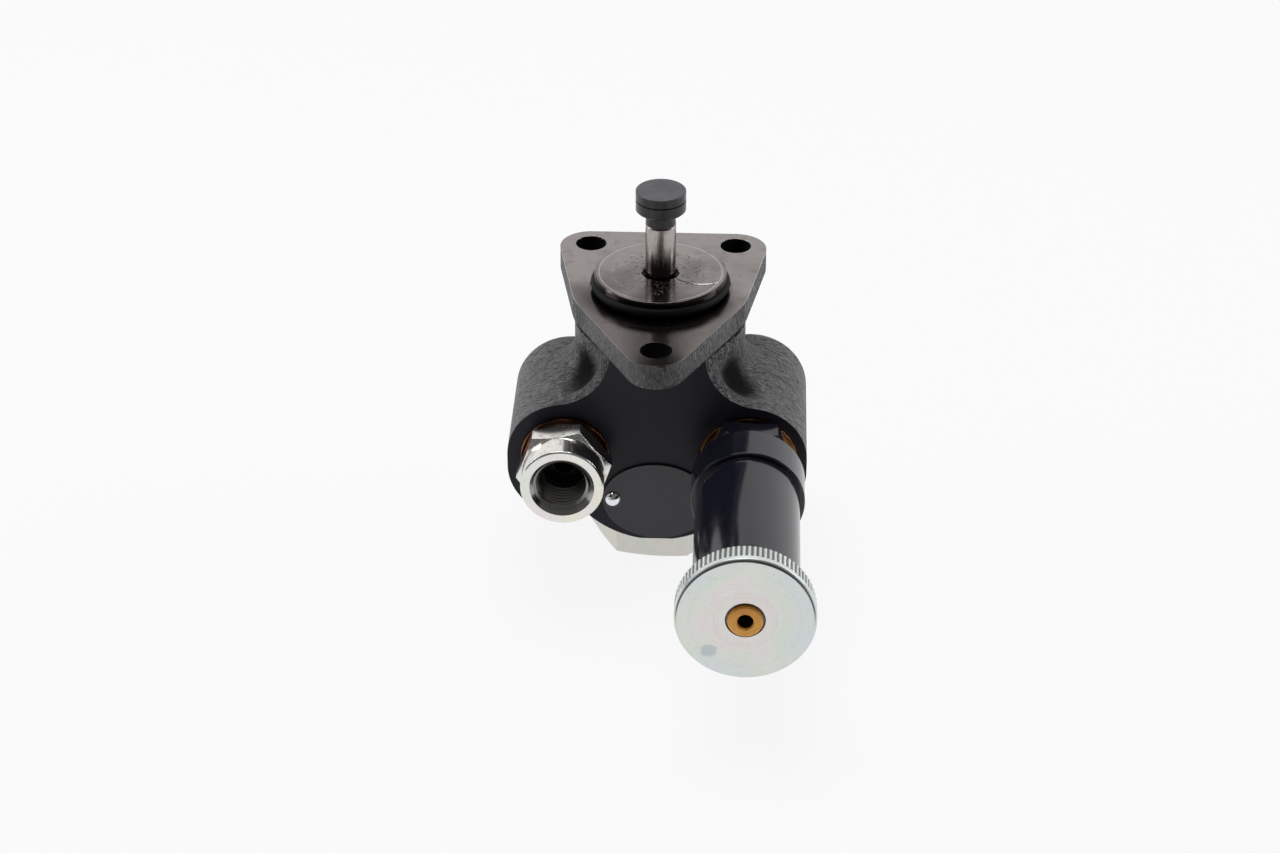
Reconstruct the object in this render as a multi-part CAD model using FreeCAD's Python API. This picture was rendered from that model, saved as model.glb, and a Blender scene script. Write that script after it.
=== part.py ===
"""Engine fuel lift pump with a hand primer.

Origin: centre of the locating pilot, on the mounting face. +Z: along the push rod, out of the pump.
-Y: the front, where the outlet union and the hand primer point. Millimetres.
"""
import FreeCAD, Part
import math
import os

os.makedirs("parts", exist_ok=True)

V = FreeCAD.Vector
Y_AXIS = V(0, 1, 0)
Z_AXIS = V(0, 0, 1)
LEFT = -1
RIGHT = 1

# Fits, on the radius
running_gap = 0.02
guide_gap = 0.05
thread_gap = 0.05
seal_gap = 0.03
spring_gap = 0.05
chamfer = 0.4

# Mounting flange and its three stud holes
flange_thick = 8.0
flange_hub_r = 25.5
stud_hole_r = 4.5
rear_hole_x = 21.2
rear_hole_y = 26.0
front_hole_y = -36.8
rear_corner_y = 24.6
rear_corner_r = 9.0
front_tip_r = 8.7
flange_edge_round = 1.2

# Locating pilot and the seal at its root
pilot_r = 19.0
pilot_height = 5.0
pilot_land = 1.75
pilot_seal_wire_r = 1.5
pilot_seal_proud = 1.0
seal_relief_depth = 0.3
seal_relief_width = 0.3
seal_top_z = pilot_height - pilot_land

# Housing casting
front_face_y = -25.6
barrel_r = 24.6
neck_tip_r = 6.0
neck_length = 45.0
housing_bottom_z = -69.2
barrel_foot_round = 2.5
ear_r = 16.7
ear_drop = 4.0
outlet_ear_rear_y = 17.5
inlet_ear_rear_y = 21.0
ear_rear_round = 4.5
front_pad_r = 28.1
front_pad_depth = 16.0
neck_fillet_r = 16.4
neck_fillet_course = (1.0, 0.72, 0.45, 0.47, 0.58, 0.64, 0.5, 0.22)
foot_fillet_r = 6.0
foot_fillet_depth = 13.6
foot_fillet_course = (1.0, 1.0, 1.0, 1.0, 1.0, 1.0, 0.8, 0.3)
fillet_bite = 0.03

# Ports, one in each ear, on axes along Y
port_x = 26.2
port_z = -41.5
inlet_thread_r = 7.19
inlet_way_r = 4.5
inlet_shoulder = 1.5
inlet_spot_r = 11.5
inlet_spot_depth = 0.5
inlet_bevel = 0.6

# Piston bore
piston_r = 11.0
piston_top_z = -25.0
piston_length = 22.0
piston_crown = 6.5
piston_wall = 2.2
piston_ring_groove = 0.35
bore_top_gap = 1.0
rod_chamber_r = 12.4
rod_chamber_length = 3.0
passage_r = 2.0

# Closing plug
plug_thread_r = 15.0
plug_thread_length = 9.0
plug_washer_thick = 1.6
plug_washer_r = 17.6
plug_hex_flats = 36.0
plug_hex_thick = 9.4
plug_bevel_deg = 15.0
plug_turn_deg = -5.0
plug_cup_r = 10.0
plug_floor = 5.0

# Piston spring
spring_wire_r = 1.1
spring_coil_r = 7.3
spring_turns = 7
spring_wire_sides = 8

# Push rod and its head
rod_r = 4.35
rod_top_z = 20.5
rod_spigot_r = 3.0
rod_spigot_length = 6.4
head_r = 7.15
head_edge = 0.2
head_neck_r = 4.05
head_neck_height = 3.95
head_cone_height = 0.3
head_lower_disc = 3.4
head_slit = 0.35
head_slit_depth = 0.8
head_upper_disc = 2.55
bush_r = 6.0
bush_length = 24.4
pilot_lip_r = 5.2

# Outlet union
union_thread_r = 9.0
union_thread_length = 13.5
union_washer_thick = 1.5
union_washer_r = 12.75
union_shoulder_r = 11.6
union_shoulder = 2.7
union_hex_flats = 24.0
union_hex_thick = 5.7
union_turn_deg = 10.0
union_nose_r = 11.8
union_nose_length = 7.9
union_bore_r = 7.19
union_bore_depth = 13.0
union_way_r = 3.0
union_mouth_r = 9.2

# Valves, the same pair in both ears
valve_r = 5.6
valve_thick = 2.0
valve_stem_r = 2.4
valve_stem_length = 2.0
valve_wing_length = 2.4
valve_wing_thick = 1.2
seat_thick = 3.0
seat_way_r = 3.6
seat_lip = 0.6
seat_lip_width = 0.9
valve_spring_wire_r = 0.35
valve_spring_coil_r = 3.4
valve_spring_turns = 6
valve_spring_length = 14.5
delivery_chamber_r = 7.6
delivery_seat_depth = 27.0
delivery_end_r = 4.5
delivery_end_length = 6.0
suction_chamber_r = 8.2
suction_seat_depth = 26.1

# Hand primer, its lengths measured from the front face
primer_thread_r = 11.0
primer_thread_length = 11.5
primer_washer_thick = 1.5
primer_washer_r = 14.0
primer_hex_flats = 26.0
primer_hex_end = 8.6
primer_turn_deg = -3.0
primer_neck_r = 12.6
collar_start = 10.5
collar_end = 23.1
collar_r = 16.05
barrel_tube_r = 14.65
barrel_tube_end = 73.5
primer_bore_r = 12.4
primer_bore_start = 12.0
primer_way_r = 3.0

# Primer rod guide
guide_length = 11.5
guide_recess = 0.5
guide_thread_depth = 6.0
knob_boss_r = 9.0
rod_ring_wire_r = 0.8
rod_ring_start = 1.6

# Primer rod and piston
primer_rod_r = 4.75
primer_rod_hole_r = 2.15
primer_rod_hole_depth = 9.0
primer_piston_end = 24.0
primer_piston_length = 8.0
primer_spigot_r = 3.2
primer_spigot_start = 13.0
clip_thick = 1.2
clip_r = 5.2
clip_groove = 0.6
primer_ring_wire_r = 1.2
primer_ring_place = 3.9

# Primer knob
knob_r = 19.0
knob_gap = 0.4
knob_back = barrel_tube_end + knob_gap
knob_knurl_length = 4.8
knob_knurl_end = knob_back + knob_knurl_length
knob_length = 7.5
knob_face = knob_back + knob_length
rod_proud = 1.0
primer_rod_end = knob_face + rod_proud
knob_face_r = 18.3
knob_face_groove = 0.5
knob_groove_width = 0.35
knob_boss_length = 5.4
knurl_count = 82
knurl_depth = 0.5
knob_ring_r = 5.4
knob_ring_depth = 3.2

# Nameplate and its two rivets
plate_half_width = 15.5
plate_half_height = 12.35
plate_rise = 13.1
plate_z = housing_bottom_z + plate_rise
plate_turn_deg = -3.0
plate_thick = 0.8
rivet_x = 12.7
rivet_shank_r = 1.2
rivet_shank_length = 5.0
rivet_head_r = 2.5
rivet_head_height = 1.9


def z_disc(radius, low, high, x=0.0, y=0.0):
    """Cylinder along Z between two heights."""
    return Part.makeCylinder(radius, high - low, V(x, y, low), Z_AXIS)


def z_turned(profile):
    """Solid of revolution about the Z axis from (radius, height) points."""
    points = [V(r, 0, z) for r, z in profile]
    face = Part.Face(Part.makePolygon(points + points[:1]))
    return face.revolve(V(0, 0, 0), Z_AXIS, 360)


def port_turned(profile, side):
    """Solid of revolution about a port's axis from (radius, distance in front of the face) points."""
    centre_x = side * port_x
    points = [V(centre_x + r, front_face_y - d, port_z) for r, d in profile]
    face = Part.Face(Part.makePolygon(points + points[:1]))
    return face.revolve(V(centre_x, 0, port_z), Y_AXIS, 360)


def port_disc(radius, start, end, side):
    """Cylinder on a port's axis between two distances in front of the front face."""
    base = V(side * port_x, front_face_y - end, port_z)
    return Part.makeCylinder(radius, end - start, base, Y_AXIS)


def port_tube(outer, inner, start, end, side):
    """Plain ring on a port's axis."""
    return port_disc(outer, start, end, side).cut(port_disc(inner, start, end, side))


def hex_points(flats, turn_deg):
    """Corners of a hexagon given across its flats."""
    corner_r = flats / math.sqrt(3)
    angles = [math.radians(60 * k + turn_deg) for k in range(7)]
    return [(corner_r * math.cos(a), corner_r * math.sin(a)) for a in angles]


def port_hex(flats, turn_deg, start, end, side):
    """Hexagon on a port's axis, its front corners turned away to a cone of 30 degrees."""
    corners = hex_points(flats, turn_deg)
    points = [V(side * port_x + u, front_face_y - start, port_z + w) for u, w in corners]
    block = Part.Face(Part.makePolygon(points)).extrude(V(0, start - end, 0))
    flat_r = flats / 2
    corner_r = flats / math.sqrt(3) + chamfer
    drop = (corner_r - flat_r) * math.tan(math.radians(30))
    profile = [(0, start), (corner_r, start), (corner_r, end - drop), (flat_r, end), (0, end)]
    return block.common(port_turned(profile, side))


def round_outline(circles, z):
    """Closed outline of straight tangents round circles (x, y, radius) listed anticlockwise."""
    sides = []
    for (x0, y0, r0), (x1, y1, r1) in zip(circles, circles[1:] + circles[:1]):
        heading = math.atan2(y1 - y0, x1 - x0)
        angle = heading - math.acos((r0 - r1) / math.hypot(x1 - x0, y1 - y0))
        normal = V(math.cos(angle), math.sin(angle), 0)
        sides.append((V(x0, y0, z) + normal * r0, V(x1, y1, z) + normal * r1, angle))
    edges = []
    for k, (start, end, angle) in enumerate(sides):
        next_start, _, next_angle = sides[(k + 1) % len(sides)]
        x1, y1, r1 = circles[(k + 1) % len(circles)]
        if next_angle < angle:
            next_angle += 2 * math.pi
        middle = (angle + next_angle) / 2
        crown = V(x1 + r1 * math.cos(middle), y1 + r1 * math.sin(middle), z)
        edges.append(Part.LineSegment(start, end).toShape())
        edges.append(Part.Arc(end, crown, next_start).toShape())
    return Part.Wire(edges)


def flange_plate():
    """Three-cornered mounting flange, its cast lower edge rounded."""
    hub = (0.0, 0.0, flange_hub_r)
    circles = [
        (0.0, front_hole_y, front_tip_r),
        hub,
        (rear_hole_x, rear_corner_y, rear_corner_r),
        (-rear_hole_x, rear_corner_y, rear_corner_r),
        hub,
    ]
    outline = round_outline(circles, -flange_thick)
    plate = Part.Face(outline).extrude(V(0, 0, flange_thick))
    low_edges = [e for e in plate.Edges if e.BoundBox.ZMax < chamfer - flange_thick]
    return plate.makeFillet(flange_edge_round, low_edges)


def neck():
    """Waist of the casting under the flange, drawn out to the front."""
    low = -flange_thick - neck_length
    high = -flange_thick / 2
    outline = round_outline([(0.0, front_hole_y, neck_tip_r), (0.0, 0.0, barrel_r)], low)
    return Part.Face(outline).extrude(V(0, 0, high - low))


def front_mill():
    """Block that the front face is milled away with."""
    reach = barrel_r - front_hole_y + neck_tip_r
    height = -flange_thick / 2 - housing_bottom_z
    return Part.makeBox(2 * reach, reach, height, V(-reach, front_face_y - reach, housing_bottom_z))


def barrel():
    """Round body that holds the piston bore, its foot rounded."""
    body = z_disc(barrel_r, housing_bottom_z, -flange_thick - neck_length / 2)
    foot = [e for e in body.Edges if e.BoundBox.ZMax < housing_bottom_z + chamfer]
    return body.makeFillet(barrel_foot_round, foot)


def ear_rear_y(side):
    """Depth that an ear reaches; the inlet's goes further back."""
    return outlet_ear_rear_y if side == LEFT else inlet_ear_rear_y


def ear(side):
    """Port boss along Y, rounded at the rear."""
    rear_y = ear_rear_y(side)
    length = rear_y - front_face_y
    centre = V(side * port_x, front_face_y, port_z)
    drop = V(0, 0, ear_drop)
    top = Part.makeCylinder(ear_r, length, centre, Y_AXIS)
    low = Part.makeCylinder(ear_r, length, centre - drop, Y_AXIS)
    middle = Part.makeBox(2 * ear_r, length, ear_drop, centre - drop - V(ear_r, 0, 0))
    boss = top.fuse([low, middle]).removeSplitter()
    rear = [e for e in boss.Edges if e.BoundBox.YMin > rear_y - chamfer]
    return boss.makeFillet(ear_rear_round, rear)


def front_pad():
    """Round pad below the ears that carries the front face down to the nameplate."""
    pad = Part.makeCylinder(front_pad_r, front_pad_depth, V(0, front_face_y, port_z), Y_AXIS)
    height = port_z - ear_drop - housing_bottom_z
    window = Part.makeBox(2 * front_pad_r, front_pad_depth, height,
                          V(-front_pad_r, front_face_y, housing_bottom_z))
    return pad.common(window)


def neck_half_width(y):
    """Half width of the neck at a depth, on its slanted front sides or its round hub."""
    lean = math.asin((barrel_r - neck_tip_r) / -front_hole_y)
    if y < -barrel_r * math.sin(lean):
        return (barrel_r + y * math.sin(lean)) / math.cos(lean)
    return math.sqrt(barrel_r ** 2 - y ** 2)


def fillet_section(y, radius, half_width, side, upward):
    """Cross-section, at one depth, of the concave fillet between the body and an ear."""
    ear_centre = V(port_x, 0, 0)
    reach = ear_r + radius
    centre = V(half_width + radius, 0, math.sqrt(reach ** 2 - (port_x - half_width - radius) ** 2))
    to_ear = (ear_centre - centre).normalize()
    cut_r = radius + fillet_bite
    start = centre + V(-cut_r, 0, 0)
    end = centre + to_ear * cut_r
    crown = centre + (V(-1, 0, 0) + to_ear).normalize() * cut_r
    root = V(half_width / 2, 0, 0)
    corners = [start, end, end + to_ear * radius, root + V(0, 0, end.z - radius), root + V(0, 0, start.z)]
    base_z = port_z if upward > 0 else port_z - ear_drop

    def place(p):
        return V(side * p.x, y, base_z + upward * p.z)

    edges = [Part.Arc(place(start), place(crown), place(end)).toShape()]
    loop = corners[1:] + corners[:1]
    edges += [Part.LineSegment(place(a), place(b)).toShape() for a, b in zip(loop, loop[1:])]
    return Part.Wire(edges)


def ear_fillet(side, upward, radius, course, front_y):
    """Concave cast fillet from the body onto an ear; course gives shares of its radius from front to rear."""
    step = (ear_rear_y(side) - ear_rear_round - front_y) / (len(course) - 1)
    sections = []
    for k, share in enumerate(course):
        y = front_y + k * step
        sections.append(fillet_section(y, radius * share, neck_half_width(y), side, upward))
    return Part.makeLoft(sections, True, False)


def casting():
    """The outer form of the housing: one cast piece."""
    lumps = [barrel(), front_pad()]
    for side in (LEFT, RIGHT):
        lumps.append(ear(side))
        lumps.append(ear_fillet(side, 1, neck_fillet_r, neck_fillet_course, front_face_y))
        foot_front_y = front_face_y + foot_fillet_depth
        lumps.append(ear_fillet(side, -1, foot_fillet_r, foot_fillet_course, foot_front_y))
    body = neck().fuse(lumps).cut(front_mill())
    pilot = z_disc(pilot_r, -flange_thick / 2, pilot_height)
    return body.fuse([flange_plate(), pilot]).removeSplitter()


def pilot_seal_groove():
    """Groove at the pilot's root, run a little way into the flange face."""
    floor_r = pilot_seal_mid_r() - pilot_seal_wire_r - guide_gap
    outer_r = pilot_seal_mid_r() + pilot_seal_wire_r + seal_relief_width
    ring = z_disc(outer_r, -seal_relief_depth, seal_top_z)
    return ring.cut(z_disc(floor_r, -seal_relief_depth, seal_top_z))


def pilot_seal_mid_r():
    """Mean radius of the pilot seal, whose outside stands proud of the pilot."""
    return pilot_r + pilot_seal_proud - pilot_seal_wire_r


def drilled(start, end):
    """Slanted drilling between two points."""
    way = end - start
    return Part.makeCylinder(passage_r, way.Length, start, way)


def passages():
    """Drillings that join the valve chambers to the two ends of the piston bore."""
    spring_end = housing_bottom_z + plug_thread_length + passage_r
    suction_y = front_face_y + (suction_seat_depth + primer_thread_length) / 2
    delivery_y = front_face_y + delivery_seat_depth + seat_thick + delivery_end_length / 2
    outlet_y = front_face_y + (delivery_seat_depth + union_thread_length) / 2
    inner_x = piston_r - passage_r
    rod_end = piston_top_z + bore_top_gap - rod_chamber_length / 2
    return [
        drilled(V(port_x, suction_y, port_z), V(inner_x, 0, spring_end)),
        drilled(V(-port_x, delivery_y, port_z), V(-inner_x, 0, spring_end)),
        drilled(V(-port_x, outlet_y, port_z), V(-inner_x, 0, rod_end)),
    ]


def piston_bore():
    """Everything bored on the push rod's axis."""
    bore_top = piston_top_z + bore_top_gap
    plug_top = housing_bottom_z + plug_thread_length
    return [
        z_disc(bush_r, bore_top - chamfer, seal_top_z),
        z_turned([(0, seal_top_z), (pilot_lip_r, seal_top_z), (pilot_lip_r, pilot_height - chamfer),
                  (pilot_lip_r + chamfer, pilot_height), (0, pilot_height)]),
        z_disc(piston_r, housing_bottom_z, bore_top),
        z_disc(rod_chamber_r, bore_top - rod_chamber_length, bore_top),
        z_disc(plug_thread_r + thread_gap, housing_bottom_z, plug_top),
    ]


def ear_bores():
    """The stepped bores of the outlet ear and of the inlet and primer ear."""
    ear_length = ear_rear_y(RIGHT) - front_face_y
    spot_face = inlet_spot_depth - ear_length
    delivery_seat_end = delivery_seat_depth + seat_thick
    suction_seat_end = suction_seat_depth + seat_thick
    return [
        port_disc(union_thread_r + thread_gap, -union_thread_length - chamfer, 0, LEFT),
        port_disc(delivery_chamber_r, -delivery_seat_end, 0, LEFT),
        port_disc(delivery_end_r, -delivery_seat_end - delivery_end_length, 0, LEFT),
        port_disc(primer_thread_r + thread_gap, -primer_thread_length - chamfer, 0, RIGHT),
        port_disc(suction_chamber_r, -suction_seat_end, 0, RIGHT),
        port_disc(inlet_way_r, -ear_length, 0, RIGHT),
        port_disc(inlet_thread_r, -ear_length, -suction_seat_end - inlet_shoulder, RIGHT),
        port_disc(inlet_spot_r, spot_face - barrel_r, spot_face, RIGHT),
        port_turned([(0, spot_face), (inlet_thread_r + inlet_bevel, spot_face),
                     (inlet_thread_r, spot_face + inlet_bevel), (0, spot_face + inlet_bevel)], RIGHT),
    ]


def pump_housing():
    """Cast housing with its machined faces, bores, drillings and holes."""
    cuts = [pilot_seal_groove()] + passages() + piston_bore() + ear_bores()
    for x, y in ((rear_hole_x, rear_hole_y), (-rear_hole_x, rear_hole_y), (0.0, front_hole_y)):
        cuts.append(z_disc(stud_hole_r, -flange_thick, 0, x, y))
    for hole in rivet_places(front_face_y):
        cuts.append(Part.makeCylinder(rivet_shank_r, rivet_shank_length + chamfer, hole, Y_AXIS))
    body = casting()
    rim = [e for e in body.Edges if e.BoundBox.ZMin > pilot_height - chamfer]
    return body.makeChamfer(chamfer, rim).cut(cuts)


def pilot_o_ring():
    """Rubber ring round the pilot's root."""
    mid_z = seal_top_z - guide_gap - pilot_seal_wire_r
    return Part.makeTorus(pilot_seal_mid_r(), pilot_seal_wire_r, V(0, 0, mid_z), Z_AXIS)


def push_rod():
    """Polished rod that the cam follower presses."""
    spigot_top = rod_top_z + rod_spigot_length
    foot = piston_top_z + running_gap
    return z_turned([
        (0, foot), (rod_r - chamfer, foot), (rod_r, foot + chamfer), (rod_r, rod_top_z - chamfer),
        (rod_r - chamfer, rod_top_z), (rod_spigot_r, rod_top_z), (rod_spigot_r, spigot_top),
        (0, spigot_top),
    ])


def tappet_head():
    """Black mushroom head pressed on the rod: a neck, two discs and the slit between them."""
    cone_low = rod_top_z + head_neck_height
    lower_low = cone_low + head_cone_height
    lower_high = lower_low + head_lower_disc
    upper_low = lower_high + head_slit
    top = upper_low + head_upper_disc
    slit_r = head_r - head_slit_depth
    spigot_top = rod_top_z + rod_spigot_length
    return z_turned([
        (rod_spigot_r, rod_top_z), (rod_r - head_edge, rod_top_z), (rod_r, rod_top_z + head_edge),
        (head_neck_r, cone_low), (head_r - chamfer, lower_low), (head_r, lower_low + chamfer),
        (head_r, lower_high), (slit_r, lower_high), (slit_r, upper_low), (head_r, upper_low),
        (head_r, top - head_edge), (head_r - head_edge, top), (0, top), (0, spigot_top),
        (rod_spigot_r, spigot_top),
    ])


def rod_guide_bush():
    """Steel sleeve that guides the push rod."""
    low = piston_top_z + bore_top_gap
    high = low + bush_length
    return z_disc(bush_r, low, high).cut(z_disc(rod_r + running_gap, low, high))


def rod_seal():
    """Lip seal between the bush and the pilot's lip."""
    low = piston_top_z + bore_top_gap + bush_length
    inner = rod_r + seal_gap
    middle = (low + seal_top_z) / 2
    return z_turned([
        (inner, low), (bush_r - seal_gap, low), (bush_r - seal_gap, seal_top_z),
        (inner + chamfer, seal_top_z), (inner, seal_top_z - chamfer), (inner + chamfer, middle),
        (inner, low + chamfer),
    ])


def pump_piston():
    """Hollow piston with two shallow oil grooves, closed towards the rod."""
    r = piston_r - running_gap
    inner = piston_r - piston_wall
    low = piston_top_z - piston_length
    floor = piston_top_z - piston_crown
    groove_r = r - piston_ring_groove
    step = piston_crown / 2
    profile = [(0, piston_top_z), (r - chamfer, piston_top_z), (r, piston_top_z - chamfer)]
    for k in (1, 2):
        middle = piston_top_z - k * step
        profile += [(r, middle + chamfer), (groove_r, middle + chamfer),
                    (groove_r, middle - chamfer), (r, middle - chamfer)]
    profile += [(r, low), (inner, low), (inner, floor), (0, floor)]
    return z_turned(profile)


def coil(mean_r, wire_r, turns, start, length, direction):
    """Coil spring that stands between two seats, its round wire drawn with flat sides."""
    travel = length - 2 * (wire_r + spring_gap)
    helix = Part.makeHelix(travel / turns, travel, mean_r)
    angles = [2 * math.pi * (k + 0.5) / spring_wire_sides for k in range(spring_wire_sides)]
    corners = [V(mean_r + wire_r * math.cos(a), 0, wire_r * math.sin(a)) for a in angles]
    profile = Part.makePolygon(corners + corners[:1])
    spring = Part.Wire(helix).makePipeShell([profile], True, True)
    spring.Placement = FreeCAD.Placement(start + direction * (wire_r + spring_gap),
                                         FreeCAD.Rotation(Z_AXIS, direction))
    return spring


def spring_floor_z():
    """Height of the seat in the closing plug."""
    return plug_bottom_z() + plug_floor


def plug_bottom_z():
    """Lowest face of the pump."""
    return housing_bottom_z - plug_washer_thick - plug_hex_thick


def piston_spring():
    """Spring that returns the piston and the push rod."""
    length = piston_top_z - piston_crown - spring_floor_z()
    return coil(spring_coil_r, spring_wire_r, spring_turns, V(0, 0, spring_floor_z()), length, Z_AXIS)


def closing_plug():
    """Hexagon plug that closes the piston bore and seats the spring."""
    seat_z = housing_bottom_z - plug_washer_thick
    bottom = plug_bottom_z()
    corners = [V(u, w, bottom) for u, w in hex_points(plug_hex_flats, plug_turn_deg)]
    block = Part.Face(Part.makePolygon(corners)).extrude(V(0, 0, plug_hex_thick))
    flat_r = plug_hex_flats / 2
    corner_r = plug_hex_flats / math.sqrt(3) + chamfer
    drop = (corner_r - flat_r) * math.tan(math.radians(plug_bevel_deg))
    shaper = z_turned([(0, bottom), (flat_r, bottom), (corner_r, bottom + drop), (corner_r, seat_z - drop),
                       (flat_r, seat_z), (0, seat_z)])
    thread_top = housing_bottom_z + plug_thread_length - chamfer
    stem = z_turned([(0, seat_z - chamfer), (plug_thread_r, seat_z - chamfer),
                     (plug_thread_r, thread_top - chamfer), (plug_thread_r - chamfer, thread_top),
                     (0, thread_top)])
    cup = z_disc(plug_cup_r, spring_floor_z(), thread_top)
    return block.common(shaper).fuse(stem).cut(cup)


def closing_plug_washer():
    """Soft metal ring under the closing plug."""
    low = housing_bottom_z - plug_washer_thick
    inner = plug_thread_r + thread_gap
    return z_disc(plug_washer_r, low, housing_bottom_z).cut(z_disc(inner, low, housing_bottom_z))


def outlet_union():
    """Hexagon union with a threaded mouth, screwed into the left ear."""
    hex_start = union_washer_thick + union_shoulder
    hex_end = hex_start + union_hex_thick
    nose = hex_end + union_nose_length
    inner_end = -union_thread_length
    spring_pocket = delivery_seat_depth - valve_thick - valve_spring_length
    outside = port_turned([
        (0, inner_end), (union_thread_r - chamfer, inner_end), (union_thread_r, inner_end + chamfer),
        (union_thread_r, union_washer_thick), (union_shoulder_r, union_washer_thick),
        (union_shoulder_r, hex_start + chamfer), (union_nose_r, hex_start + chamfer),
        (union_nose_r, nose - chamfer), (union_nose_r - chamfer, nose), (0, nose),
    ], LEFT)
    hexagon = port_hex(union_hex_flats, union_turn_deg, hex_start, hex_end, LEFT)
    pocket_r = valve_spring_coil_r + valve_spring_wire_r + 2 * thread_gap
    mouth = union_mouth_r - union_bore_r
    bore_start = nose - union_bore_depth
    inside = port_turned([
        (0, inner_end), (pocket_r, inner_end), (pocket_r, -spring_pocket), (union_way_r, -spring_pocket),
        (union_way_r, bore_start), (union_bore_r, bore_start), (union_bore_r, nose - mouth),
        (union_mouth_r, nose), (0, nose),
    ], LEFT)
    return outside.fuse(hexagon).cut(inside)


def outlet_washer():
    """Copper ring under the outlet union."""
    return port_tube(union_washer_r, union_thread_r + thread_gap, 0, union_washer_thick, LEFT)


def valve_seat(seat_depth, outer_r, side):
    """Pressed-in seat ring with a raised lip for the valve."""
    face = -seat_depth
    base = face - seat_thick
    lip_r = seat_way_r + seat_lip_width
    return port_turned([
        (seat_way_r, base), (outer_r, base), (outer_r, face - seat_lip), (lip_r, face - seat_lip),
        (lip_r, face), (seat_way_r, face),
    ], side)


def valve(seat_depth, side):
    """Plastic disc valve, guided in its seat by four wings and in its spring by a stem."""
    face = -seat_depth
    top = face + valve_thick
    disc = port_turned([
        (0, face), (valve_r, face), (valve_r, top - chamfer), (valve_r - chamfer, top), (valve_stem_r, top),
        (valve_stem_r, top + valve_stem_length), (0, top + valve_stem_length),
    ], side)
    guide_r = seat_way_r - guide_gap
    wing_height = valve_wing_length + chamfer
    wings = []
    for span_x, span_z in ((2 * guide_r, valve_wing_thick), (valve_wing_thick, 2 * guide_r)):
        corner = V(side * port_x - span_x / 2, front_face_y - face - chamfer, port_z - span_z / 2)
        wings.append(Part.makeBox(span_x, wing_height, span_z, corner))
    guide = port_disc(guide_r, face - valve_wing_length, face + chamfer, side)
    cross = wings[0].fuse(wings[1]).common(guide)
    return disc.fuse(cross).removeSplitter()


def valve_spring(seat_depth, side):
    """Light spring that holds a valve on its seat."""
    start = V(side * port_x, front_face_y + seat_depth - valve_thick, port_z)
    return coil(valve_spring_coil_r, valve_spring_wire_r, valve_spring_turns, start,
                valve_spring_length, V(0, -1, 0))


def primer_barrel():
    """Primer body: thread, hexagon, collar and long tube, bored for the primer piston."""
    inner_end = -primer_thread_length
    pocket_end = -(suction_seat_depth - valve_thick - valve_spring_length)
    pocket_r = valve_spring_coil_r + valve_spring_wire_r + 2 * thread_gap
    outside = port_turned([
        (0, inner_end), (primer_thread_r - chamfer, inner_end), (primer_thread_r, inner_end + chamfer),
        (primer_thread_r, primer_washer_thick), (primer_neck_r, primer_washer_thick),
        (primer_neck_r, collar_start), (collar_r - chamfer, collar_start),
        (collar_r, collar_start + chamfer), (collar_r, collar_end - chamfer),
        (collar_r - chamfer, collar_end), (barrel_tube_r, collar_end),
        (barrel_tube_r, barrel_tube_end - chamfer), (barrel_tube_r - chamfer, barrel_tube_end),
        (0, barrel_tube_end),
    ], RIGHT)
    hexagon = port_hex(primer_hex_flats, primer_turn_deg, primer_washer_thick, primer_hex_end, RIGHT)
    inside = port_turned([
        (0, inner_end), (pocket_r, inner_end), (pocket_r, pocket_end), (primer_way_r, pocket_end),
        (primer_way_r, primer_bore_start), (primer_bore_r, primer_bore_start),
        (primer_bore_r, barrel_tube_end), (0, barrel_tube_end),
    ], RIGHT)
    return outside.fuse(hexagon).cut(inside)


def primer_washer():
    """Copper ring under the primer."""
    return port_tube(primer_washer_r, primer_thread_r + thread_gap, 0, primer_washer_thick, RIGHT)


def guide_end():
    """Outer end of the primer rod's guide, just inside the barrel's mouth."""
    return barrel_tube_end - guide_recess


def primer_guide_bush():
    """Bush in the barrel's mouth that guides the rod and holds the knob's thread."""
    end = guide_end()
    start = end - guide_length
    thread_start = end - guide_thread_depth
    rod_way = primer_rod_r + guide_gap
    ring_start = start + rod_ring_start
    ring_end = ring_start + 2 * (rod_ring_wire_r + guide_gap)
    ring_r = rod_way + 2 * rod_ring_wire_r + guide_gap
    thread_r = knob_boss_r + thread_gap
    return port_turned([
        (rod_way, start), (primer_bore_r, start), (primer_bore_r, end), (thread_r + chamfer, end),
        (thread_r, end - chamfer), (thread_r, thread_start), (rod_way, thread_start), (rod_way, ring_end),
        (ring_r, ring_end), (ring_r, ring_start), (rod_way, ring_start),
    ], RIGHT)


def port_ring(mean_r, wire_r, place, side):
    """Rubber ring on a port's axis."""
    centre = V(side * port_x, front_face_y - place, port_z)
    return Part.makeTorus(mean_r, wire_r, centre, Y_AXIS)


def primer_rod_seal():
    """Rubber ring in the guide, round the primer rod."""
    place = guide_end() - guide_length + rod_ring_start + rod_ring_wire_r + guide_gap
    return port_ring(primer_rod_r + guide_gap + rod_ring_wire_r, rod_ring_wire_r, place, RIGHT)


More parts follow.
